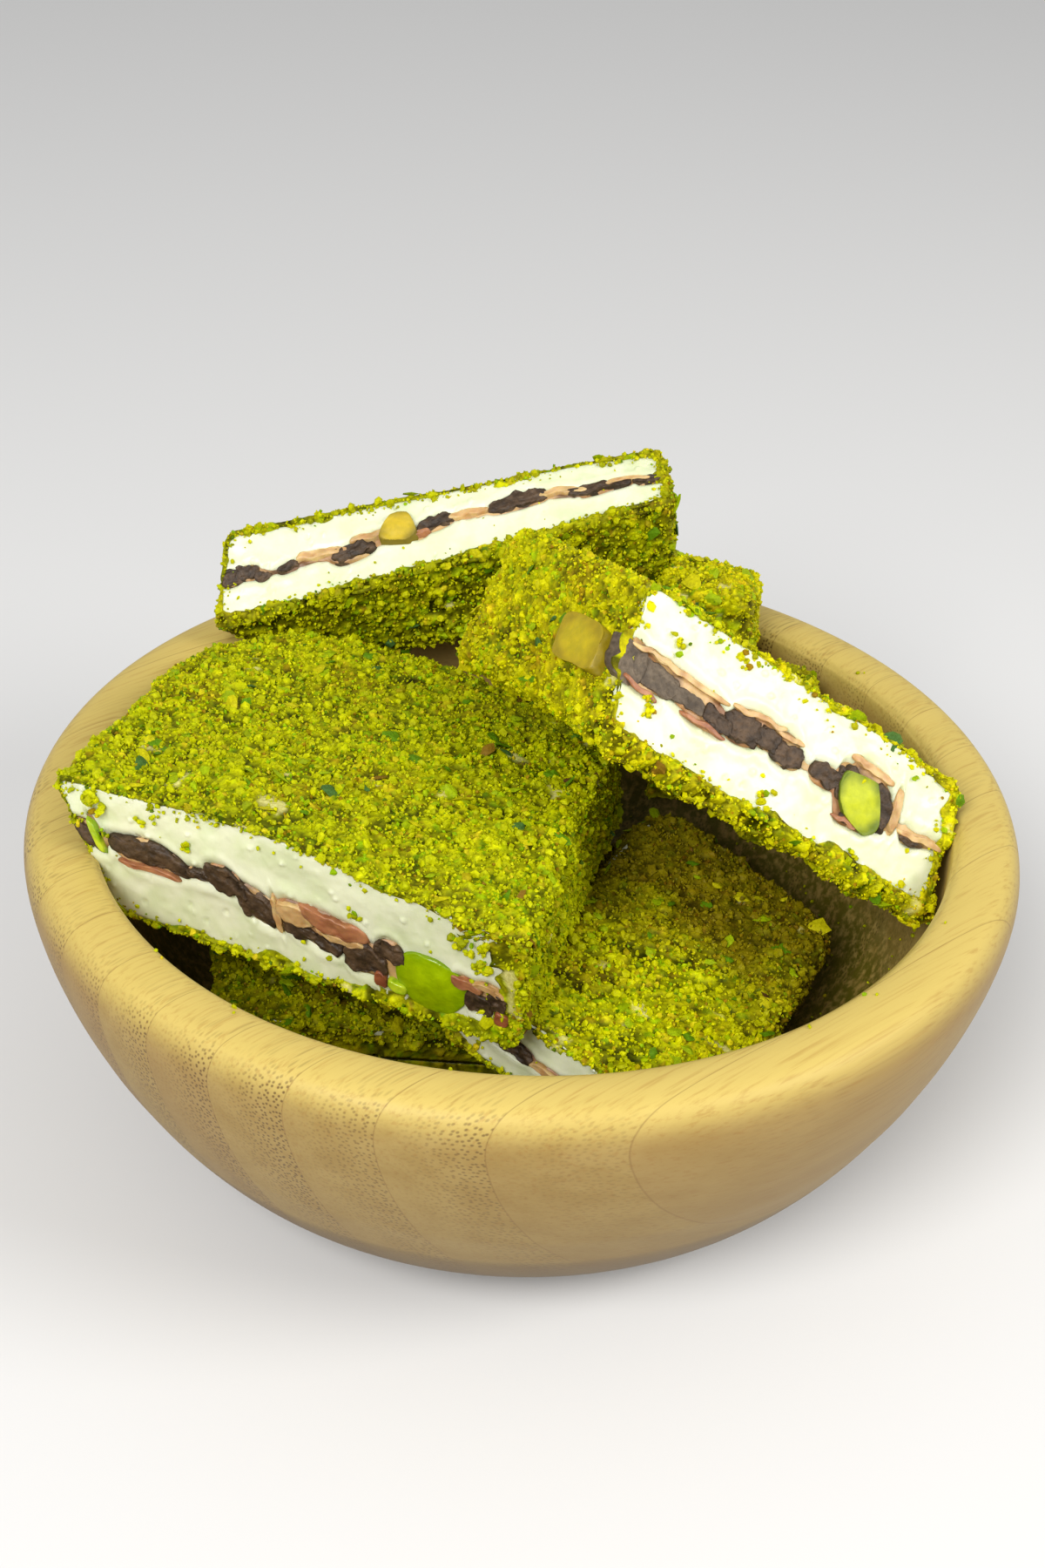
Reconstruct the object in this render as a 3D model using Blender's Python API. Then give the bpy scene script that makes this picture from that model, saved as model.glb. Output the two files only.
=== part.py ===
"""A turned bamboo bowl filled with cut slabs of Turkish delight: white layers round a chocolate and
nut filling, with pistachio kernels at the cuts. The slabs lean on the bowl and on one another."""

import bpy
import numpy as np
from mathutils import Euler, Vector

MM = 0.001

# The bowl, millimetres.
BOWL_RADIUS = 60.0
BOWL_HEIGHT = 44.8
BASE_RADIUS = 30.0
BASE_BEVEL = 1.0
LIP_RADIUS = 51.6
FLOOR_HEIGHT = 5.2
BOWL_SEGMENTS = 48

# Every slab.
LAYER_GAP = 0.25
NUT_GAP = 0.3
NUT_PROUD = 0.4
EDGE_ROUND = 2.2
CUT_EDGE_ROUND = 0.4
FILLING_INSET = 0.35
FRONT_POINTS = 7
SIDE_POINTS = 3
CORNER_POINTS = 3

# Each slab: the middle of its box and its size (length, depth from the cut face, thickness) in
# millimetres, its turn in degrees as yaw, pitch and roll, the heights where the filling starts and
# stops as fractions of the thickness, how far it rises towards the left and right ends as fractions
# too, how much it undulates, the plan radius of its corners, a bow of its far side, dents in its top
# where the next slab rests and swellings, which have a negative depth (place along and across from -1
# to 1, radius, depth), and how far its hand-cut corners lie from a true box. A corner is named by its
# end along the length, by cut or far side, and by bottom or top.
SLABS = {
    "slab_a": {
        "centre": (-18.8, 0.2, 41.35), "turn": (-15.2, 4.3, -3.4), "size": (55.9, 52.1, 15.1),
        "filling": (0.29, 0.47), "ends": (0.17, -0.04), "wave": 0.55,
        "corner": 5.0, "far_left_corner": 19.0, "bow": 1.2, "dents": ((0.95, 0.9, 15.0, 3.2), (-0.1, -1.0, 18.0, -2.4)),
        "uneven": {
            "left cut bottom": (6.0, 2.5, 0.0), "left cut top": (-2.5, 2.0, 1.5),
            "left far top": (-2.0, -0.5, 0.0), "right cut bottom": (0.5, -1.0, -1.0),
            "right cut top": (0.5, -3.5, 0.0), "right far top": (-3.0, -0.5, 0.0),
        },
    },
    "slab_b": {
        "centre": (-9.4, 41.1, 51.2), "turn": (9.2, -13.1, -76.6), "size": (59.3, 17.3, 11.2),
        "filling": (0.47, 0.63), "ends": (-0.07, -0.17), "wave": 0.35,
        "corner": 3.0, "far_left_corner": 4.0, "bow": 0.0, "dents": (),
        "uneven": {
            "left cut bottom": (-3.5, 3.0, 1.0), "left cut top": (0.0, -3.0, 0.5),
            "left far bottom": (3.2, 0.0, 2.5), "left far top": (5.4, -2.2, -5.6),
            "right cut bottom": (0.0, 0.5, 1.0), "right far bottom": (-2.5, 0.0, 0.5),
        },
    },
    "slab_c": {
        "centre": (23.5, 6.4, 49.2), "turn": (3.0, 35.3, -31.8), "size": (49.5, 31.8, 15.1),
        "filling": (0.37, 0.55), "ends": (0.02, 0.0), "wave": 0.6,
        "corner": 4.0, "far_left_corner": 4.5, "bow": 0.0, "dents": (),
        "uneven": {
            "left cut bottom": (4.0, -1.5, -2.5), "left cut top": (1.5, 3.5, 1.0),
            "left far bottom": (-6.3, 3.0, -0.2), "left far top": (-7.5, 0.5, 3.6),
            "right cut bottom": (2.5, -1.5, 0.0), "right cut top": (-1.0, -0.5, 0.5),
            "right far bottom": (3.5, -9.5, 2.0), "right far top": (-1.0, -8.5, -5.5),
        },
    },
    "slab_d": {
        "centre": (19.3, -10.6, 23.9), "turn": (-30.6, 15.1, -3.0), "size": (34.0, 50.9, 12.1),
        "filling": (0.38, 0.58), "ends": (0.0, 0.0), "wave": 0.4,
        "corner": 6.0, "far_left_corner": 4.0, "bow": 0.0, "dents": (),
        "uneven": {
            "left cut bottom": (0.0, 0.0, 2.4), "left cut top": (1.5, 2.0, -2.8),
            "left far bottom": (-3.0, 0.0, 2.0), "left far top": (0.3, 0.5, -3.1),
            "right cut bottom": (-2.5, -0.5, 1.0), "right cut top": (1.0, 0.0, -0.5),
            "right far bottom": (-4.5, -6.5, 1.4), "right far top": (-4.6, -6.0, 0.3),
        },
    },
    "slab_e": {
        "centre": (23.7, 34.0, 41.4), "turn": (-12.0, -3.2, 84.9), "size": (13.5, 30.5, 14.5),
        "filling": (0.42, 0.58), "ends": (0.0, 0.0), "wave": 0.3,
        "corner": 2.5, "far_left_corner": 2.5, "bow": 0.0, "dents": (),
        "uneven": {
            "left far bottom": (1.0, 0.0, 0.0), "right cut bottom": (-0.8, 2.5, 1.2),
            "right far bottom": (-1.0, -2.0, 0.0),
        },
    },
    "slab_f": {
        "centre": (33.5, 24.1, 35.2), "turn": (-100.5, 6.4, 85.5), "size": (14.6, 20.6, 6.8),
        "filling": (0.40, 0.60), "ends": (0.0, 0.0), "wave": 0.2,
        "corner": 2.5, "far_left_corner": 2.5, "bow": 0.0, "dents": (),
        "uneven": {
            "left cut bottom": (1.0, 1.0, 0.6), "left cut top": (0.5, 0.0, -1.0),
            "left far top": (-1.0, 0.5, 0.0), "right cut bottom": (-0.8, 0.0, 0.0),
            "right cut top": (-0.8, 0.0, 0.0), "right far bottom": (-0.8, 0.0, 0.0),
            "right far top": (-1.4, -0.5, 0.0),
        },
    },
    "slab_g": {
        "centre": (-15.0, -3.8, 17.8), "turn": (7.0, 7.5, 0.9), "size": (48.5, 34.0, 12.2),
        "filling": (0.40, 0.58), "ends": (0.0, 0.0), "wave": 0.4,
        "corner": 9.0, "far_left_corner": 9.0, "bow": 0.0, "dents": (),
        "uneven": {
            "left cut bottom": (2.5, 1.5, 1.8), "left far bottom": (2.5, -1.5, 1.8),
            "right cut bottom": (-2.5, 1.5, 1.8), "right cut top": (0.0, 0.0, -0.5),
            "right far bottom": (-2.5, -1.5, 1.8),
        },
    },
}

# Each kernel: its slab, its place along the length and the depth from -1 to 1 and up the thickness
# from 0 to 1, and its three diameters in millimetres along the same three directions.
KERNELS = {
    "slab_a_pistachio": ("slab_a", (0.58, -0.95, 0.34), (8.4, 8.5, 6.4)),
    "slab_b_pistachio": ("slab_b", (-0.20, -0.90, 0.57), (5.2, 6.0, 4.2)),
    "slab_c_pistachio": ("slab_c", (0.44, -0.95, 0.49), (6.4, 8.0, 5.8)),
    "slab_c_end_nut": ("slab_c", (-0.96, -0.60, 0.46), (7.0, 10.4, 6.8)),
}

COLOURS = {
    "bowl": (0.62, 0.42, 0.17, 1.0),
    "white": (0.86, 0.87, 0.80, 1.0),
    "filling": (0.06, 0.035, 0.025, 1.0),
    "kernel": (0.36, 0.50, 0.05, 1.0),
}


def clear_scene():
    for obj in list(bpy.data.objects):
        bpy.data.objects.remove(obj, do_unlink=True)


def material(name, colour, roughness):
    mat = bpy.data.materials.new(name)
    mat.use_nodes = True
    shader = mat.node_tree.nodes["Principled BSDF"]
    shader.inputs["Base Color"].default_value = colour
    shader.inputs["Roughness"].default_value = roughness
    return mat


def add_object(name, points, faces, mat):
    """A mesh object from points in millimetres and faces that look outward."""
    mesh = bpy.data.meshes.new(name)
    mesh.from_pydata([tuple(p) for p in np.asarray(points) * MM], [], faces)
    mesh.materials.append(mat)
    mesh.update()
    obj = bpy.data.objects.new(name, mesh)
    bpy.context.scene.collection.objects.link(obj)
    return obj


def rings_to_faces(rows, count):
    """Faces of a closed body: a first pole, rows of count points each, and a last pole."""
    first = 0
    last = 1 + rows * count
    faces = []
    for k in range(count):
        n = (k + 1) % count
        faces.append((first, 1 + n, 1 + k))
        for r in range(rows - 1):
            a = 1 + r * count
            b = a + count
            faces.append((a + k, a + n, b + n, b + k))
        a = 1 + (rows - 1) * count
        faces.append((a + k, a + n, last))
    return faces


def bowl_profile():
    """Radius and height from the middle of the base, out and up the wall, over the lip and down."""
    outer = [(BASE_RADIUS - BASE_BEVEL, 0.0), (BASE_RADIUS + 0.5, 0.35)]
    wall = ((38.0, 2.6), (45.4, 8.0), (50.3, 14.2), (54.2, 21.2), (55.9, 24.9))
    outer += list(wall) + [(57.7, 29.6), (59.2, 34.8), (BOWL_RADIUS, 39.6)]
    rim = [(59.6, 42.4), (58.2, 44.2), (55.6, BOWL_HEIGHT), (53.2, 44.6), (52.1, 43.9)]
    inner = [(LIP_RADIUS, 42.4), (51.1, 35.0), (49.6, 28.0), (47.3, 22.0), (44.3, 17.0)]
    floor = [(40.6, 13.0), (36.1, 10.0), (31.1, 8.0), (24.1, 6.5), (14.0, 5.6)]
    return outer + rim + inner + floor


def build_bowl(mat):
    profile = bowl_profile()
    angle = np.arange(BOWL_SEGMENTS) * 2 * np.pi / BOWL_SEGMENTS
    points = [(0.0, 0.0, 0.0)]
    for radius, height in profile:
        ring = np.stack([radius * np.cos(angle), radius * np.sin(angle), 0 * angle + height], -1)
        points.extend(ring.tolist())
    points.append((0.0, 0.0, FLOOR_HEIGHT))
    add_object("bowl", points, rings_to_faces(len(profile), BOWL_SEGMENTS), mat)


def plan_outline(slab):
    """Points round the slab in plan, millimetres, anticlockwise from the left of the cut side, and
    how much the rounding of the edge applies at each: little on the cut side, all of it elsewhere."""
    half_l = slab["size"][0] / 2
    half_w = slab["size"][1] / 2
    corner = slab["corner"]
    radii = {"cut left": 0.8, "cut right": 0.8, "far right": corner}
    radii["far left"] = slab["far_left_corner"]
    signs = (("cut left", -1, -1, 180), ("cut right", 1, -1, 270), ("far right", 1, 1, 0),
             ("far left", -1, 1, 90))
    points = []
    for which, (name, sx, sy, start) in enumerate(signs):
        r = radii[name]
        for k in range(CORNER_POINTS):
            angle = np.radians(start + 90 * k / (CORNER_POINTS - 1))
            x = sx * (half_l - r) + r * np.cos(angle)
            y = sy * (half_w - r) + r * np.sin(angle)
            points.append((x, y))
        following = signs[(which + 1) % 4]
        next_r = radii[following[0]]
        angle = np.radians(following[3])
        x1 = following[1] * (half_l - next_r) + next_r * np.cos(angle)
        y1 = following[2] * (half_w - next_r) + next_r * np.sin(angle)
        count = FRONT_POINTS if which == 0 else SIDE_POINTS
        x0, y0 = points[-1]
        for k in range(1, count + 1):
            t = k / (count + 1)
            bulge = slab["bow"] * 4 * t * (1 - t) if which == 2 else 0.0
            points.append((x0 + (x1 - x0) * t, y0 + (y1 - y0) * t + bulge))
    plan = np.array(points)
    coated = np.clip((plan[:, 1] + half_w) / 3.0, 0.0, 1.0)
    return plan, CUT_EDGE_ROUND + (EDGE_ROUND - CUT_EDGE_ROUND) * coated


def undulation(slab, plan, phase):
    """Height of the filling's surface over its own level: a gentle wave, the sum of three sines along
    and across, and the rise towards each end, which grows with the square of the way from the middle."""
    x = plan[:, 0] / 7.0 + phase
    y = plan[:, 1] / 9.0 - phase
    wave = np.sin(x) + 0.6 * np.sin(2.1 * x + 1.3 * y + 1.0) + 0.4 * np.sin(y * 1.7 + 2.0 * phase)
    along = plan[:, 0] / (slab["size"][0] / 2)
    left, right = slab["ends"]
    rise = left * np.clip(-along, 0, 1) ** 2 + right * np.clip(along, 0, 1) ** 2
    return slab["wave"] * wave / 1.6 + rise * slab["size"][2]


def dent(slab, plan):
    """Depth pressed into the top over the plan: a bell round each dent's middle, upward if negative."""
    depth_here = np.zeros(len(plan))
    for along, across, radius, depth in slab["dents"]:
        x = plan[:, 0] - along * slab["size"][0] / 2
        y = plan[:, 1] - across * slab["size"][1] / 2
        depth_here += depth * np.exp(-(x * x + y * y) / radius**2)
    return depth_here


def to_world(slab, local):
    """Local points, millimetres from the middle of the box, moved to their place in the bowl. Each
    corner's unevenness is spread over the slab in proportion to how near a point is to it."""
    size = np.array(slab["size"])
    unit = np.clip(local / size + 0.5, -0.05, 1.05)
    shift = np.zeros_like(local)
    for corner, move in slab["uneven"].items():
        end, side, level = corner.split()
        along = unit[:, 0] if end == "right" else 1 - unit[:, 0]
        across = unit[:, 1] if side == "far" else 1 - unit[:, 1]
        up = unit[:, 2] if level == "top" else 1 - unit[:, 2]
        shift += (along * across * up)[:, None] * np.array(move)
    yaw, pitch, roll = np.radians(slab["turn"])
    turn = np.array(Euler((roll, pitch, yaw), "XYZ").to_matrix())
    return (local + shift) @ turn.T + np.array(slab["centre"])


def ring(plan, inset, scale, height):
    """One row of points: the outline drawn in by inset, scaled about the middle, at its height."""
    length = np.hypot(plan[:, 0], plan[:, 1])[:, None]
    flat = plan * (1 - inset[:, None] / length) * scale
    return np.column_stack([flat, height])


def layer_rows(slab, which):
    """The rows of points of one layer, from the pole underneath to the pole on top."""
    plan, edge = plan_outline(slab)
    thick = slab["size"][2]
    bottom = -thick / 2
    low = bottom + thick * slab["filling"][0]
    high = bottom + thick * slab["filling"][1]
    none = 0 * edge
    inner = plan * 0.55
    middle = np.zeros((1, 2))
    low_out = low + undulation(slab, plan, 0.0)
    low_in = low + undulation(slab, inner, 0.0)
    low_middle = low + undulation(slab, middle, 0.0)[0]
    high_out = high + undulation(slab, plan, 1.1)
    high_in = high + undulation(slab, inner, 1.1)
    high_middle = high + undulation(slab, middle, 1.1)[0]
    if which == "lower":
        edge = np.minimum(edge, 0.7 * (low_out - bottom))
        rows = [ring(plan, edge, 0.55, none + bottom), ring(plan, edge, 1.0, none + bottom)]
        rows.append(ring(plan, 0.3 * edge, 1.0, bottom + 0.3 * edge))
        rows.append(ring(plan, none, 1.0, bottom + edge))
        rows.append(ring(plan, none, 1.0, low_out - LAYER_GAP))
        rows.append(ring(plan, none, 0.55, low_in - LAYER_GAP))
        poles = (bottom, low_middle - LAYER_GAP)
    elif which == "filling":
        draw = none + FILLING_INSET
        rows = [ring(plan, draw, 0.55, low_in + LAYER_GAP), ring(plan, draw, 1.0, low_out + LAYER_GAP)]
        rows.append(ring(plan, draw, 1.0, high_out - LAYER_GAP))
        rows.append(ring(plan, draw, 0.55, high_in - LAYER_GAP))
        poles = (low_middle + LAYER_GAP, high_middle - LAYER_GAP)
    else:
        top = bottom + thick - dent(slab, plan)
        top_in = bottom + thick - dent(slab, inner)
        edge = np.minimum(edge, 0.7 * (top - high_out))
        rows = [ring(plan, none, 0.55, high_in + LAYER_GAP), ring(plan, none, 1.0, high_out + LAYER_GAP)]
        rows.append(ring(plan, none, 1.0, top - edge))
        rows.append(ring(plan, 0.3 * edge, 1.0, top - 0.3 * edge))
        rows.append(ring(plan, edge, 1.0, top))
        rows.append(ring(plan, edge, 0.55, top_in))
        poles = (high_middle + LAYER_GAP, bottom + thick - dent(slab, middle)[0])
    return rows, poles


def build_layer(name, slab, which, mat):
    rows, poles = layer_rows(slab, which)
    local = np.vstack([[[0, 0, poles[0]]], *rows, [[0, 0, poles[1]]]])
    return add_object(name, to_world(slab, local), rings_to_faces(len(rows), len(rows[0])), mat)


def build_kernel(name, slab, place, diameters, mat, cut=True, segments=12, rows=7):
    """A kernel: an ellipsoid whose three axes run along the slab's length, depth and thickness. With
    cut set, what would stand out of the slab's cut side or left end by more than a little is flat."""
    size = np.array(slab["size"])
    middle = np.array([place[0] / 2, place[1] / 2, place[2] - 0.5]) * size
    half = np.array(diameters) / 2
    angle = np.arange(segments) * 2 * np.pi / segments
    points = [(0.0, 0.0, -1.0)]
    for k in range(1, rows + 1):
        lift = -np.pi / 2 + np.pi * k / (rows + 1)
        flat = np.stack([np.cos(lift) * np.cos(angle), np.cos(lift) * np.sin(angle)], -1)
        points.extend((x, y, np.sin(lift)) for x, y in flat)
    points.append((0.0, 0.0, 1.0))
    local = middle + np.array(points) * half
    if cut:
        local[:, :2] = np.maximum(local[:, :2], -size[:2] / 2 - NUT_PROUD)
    anchor = to_world(slab, middle[None, :])[0]
    yaw, pitch, roll = np.radians(slab["turn"])
    turn = np.array(Euler((roll, pitch, yaw), "XYZ").to_matrix())
    world = (local - middle) @ turn.T + anchor
    return add_object(name, world, rings_to_faces(rows, segments), mat)


def cut_pocket(obj, cutter):
    modifier = obj.modifiers.new("pocket", "BOOLEAN")
    modifier.operation = "DIFFERENCE"
    modifier.solver = "EXACT"
    modifier.object = cutter


def build():
    clear_scene()
    build_bowl(material("bamboo", COLOURS["bowl"], 0.45))
    layers = {}
    for name, slab in SLABS.items():
        for which in ("lower", "filling", "upper"):
            look = "filling" if which == "filling" else "white"
            node = name + "_" + which
            mat = material(node, COLOURS[look], 0.5)
            layers.setdefault(name, []).append(build_layer(node, slab, which, mat))
    for name, (owner, place, diameters) in KERNELS.items():
        slab = SLABS[owner]
        mat = material(name, COLOURS["kernel"], 0.5)
        build_kernel(name, slab, place, diameters, mat)
        larger = [d + 2 * NUT_GAP for d in diameters]
        cutter = build_kernel(name + "_pocket", slab, place, larger, mat, cut=False)
        cutter.hide_render = True
        cutter.display_type = "WIRE"
        for obj in layers[owner]:
            cut_pocket(obj, cutter)


build()
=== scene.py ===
"""The looks of a turned bamboo bowl of layered Turkish delight: white slabs round a chocolate and nut
filling, coated with ground pistachio. Lengths are millimetres until a mesh is made in metres."""

import bpy
import numpy as np
from mathutils import Euler, Matrix, Vector


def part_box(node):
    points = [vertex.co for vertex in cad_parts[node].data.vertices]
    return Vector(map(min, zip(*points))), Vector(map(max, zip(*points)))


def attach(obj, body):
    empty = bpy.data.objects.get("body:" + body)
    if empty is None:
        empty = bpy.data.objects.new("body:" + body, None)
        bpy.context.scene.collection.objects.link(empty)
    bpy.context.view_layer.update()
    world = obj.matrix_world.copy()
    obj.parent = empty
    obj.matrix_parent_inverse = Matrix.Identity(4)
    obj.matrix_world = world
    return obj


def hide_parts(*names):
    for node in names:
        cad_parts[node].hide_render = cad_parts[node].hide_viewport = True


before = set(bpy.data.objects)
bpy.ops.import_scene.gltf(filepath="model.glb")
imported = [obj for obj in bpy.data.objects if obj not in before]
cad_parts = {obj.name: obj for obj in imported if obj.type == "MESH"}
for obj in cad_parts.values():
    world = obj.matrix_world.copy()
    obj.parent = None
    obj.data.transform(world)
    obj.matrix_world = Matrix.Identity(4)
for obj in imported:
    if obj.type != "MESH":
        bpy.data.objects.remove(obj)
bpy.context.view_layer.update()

MM = 0.001

# The bowl's turned profile.
BASE_RADIUS = 30.0
LIP_RADIUS = 51.6
FLOOR_HEIGHT = 5.2
BOWL_SEGMENTS = 360
# How pale the wood is outside, by height: painted shade that darkens it towards the foot.
FOOT_TO_LIP = (0.0, 10.0, 16.0, 17.0, 36.0, 41.5, 43.6, 44.4)
UNSHADED_BY_HEIGHT = (0.0, 0.12, 0.25, 0.46, 0.58, 0.66, 0.92, 1.0)

# The bamboo: direction of its fibres from +X, width of its glued strips, and the first glue plane.
FIBRE_ANGLE = 41.0
STRIP_WIDTH = 8.67
FIRST_GLUE_PLANE = -17.6
BUNDLE_SPACING = 0.54

# Clumps of fallen crumbs on the lip: direction from +X in degrees, radius, number of grains.
LIP_CRUMBS = ((-123.0, 53.4, 2), (-139.0, 53.0, 2), (-44.0, 53.4, 2), (-54.0, 53.2, 2), (-97.0, 53.0, 1),
              (-28.0, 53.4, 1), (35.0, 53.8, 2), (118.0, 53.6, 2))

# Every slab.
EDGE_ROUND = 2.2
CUT_EDGE_ROUND = 0.4
CUT_CORNER = 0.8
COAT_THICKNESS = 0.45
GRAIN = 0.95
CRUMBS_PER_AREA = 2.0
COARSE_PER_AREA = 0.16
FLAKES_PER_AREA = 0.022
CRUMBS_PER_EDGE = 3.8
WALL_CRUMBS = 700
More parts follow.
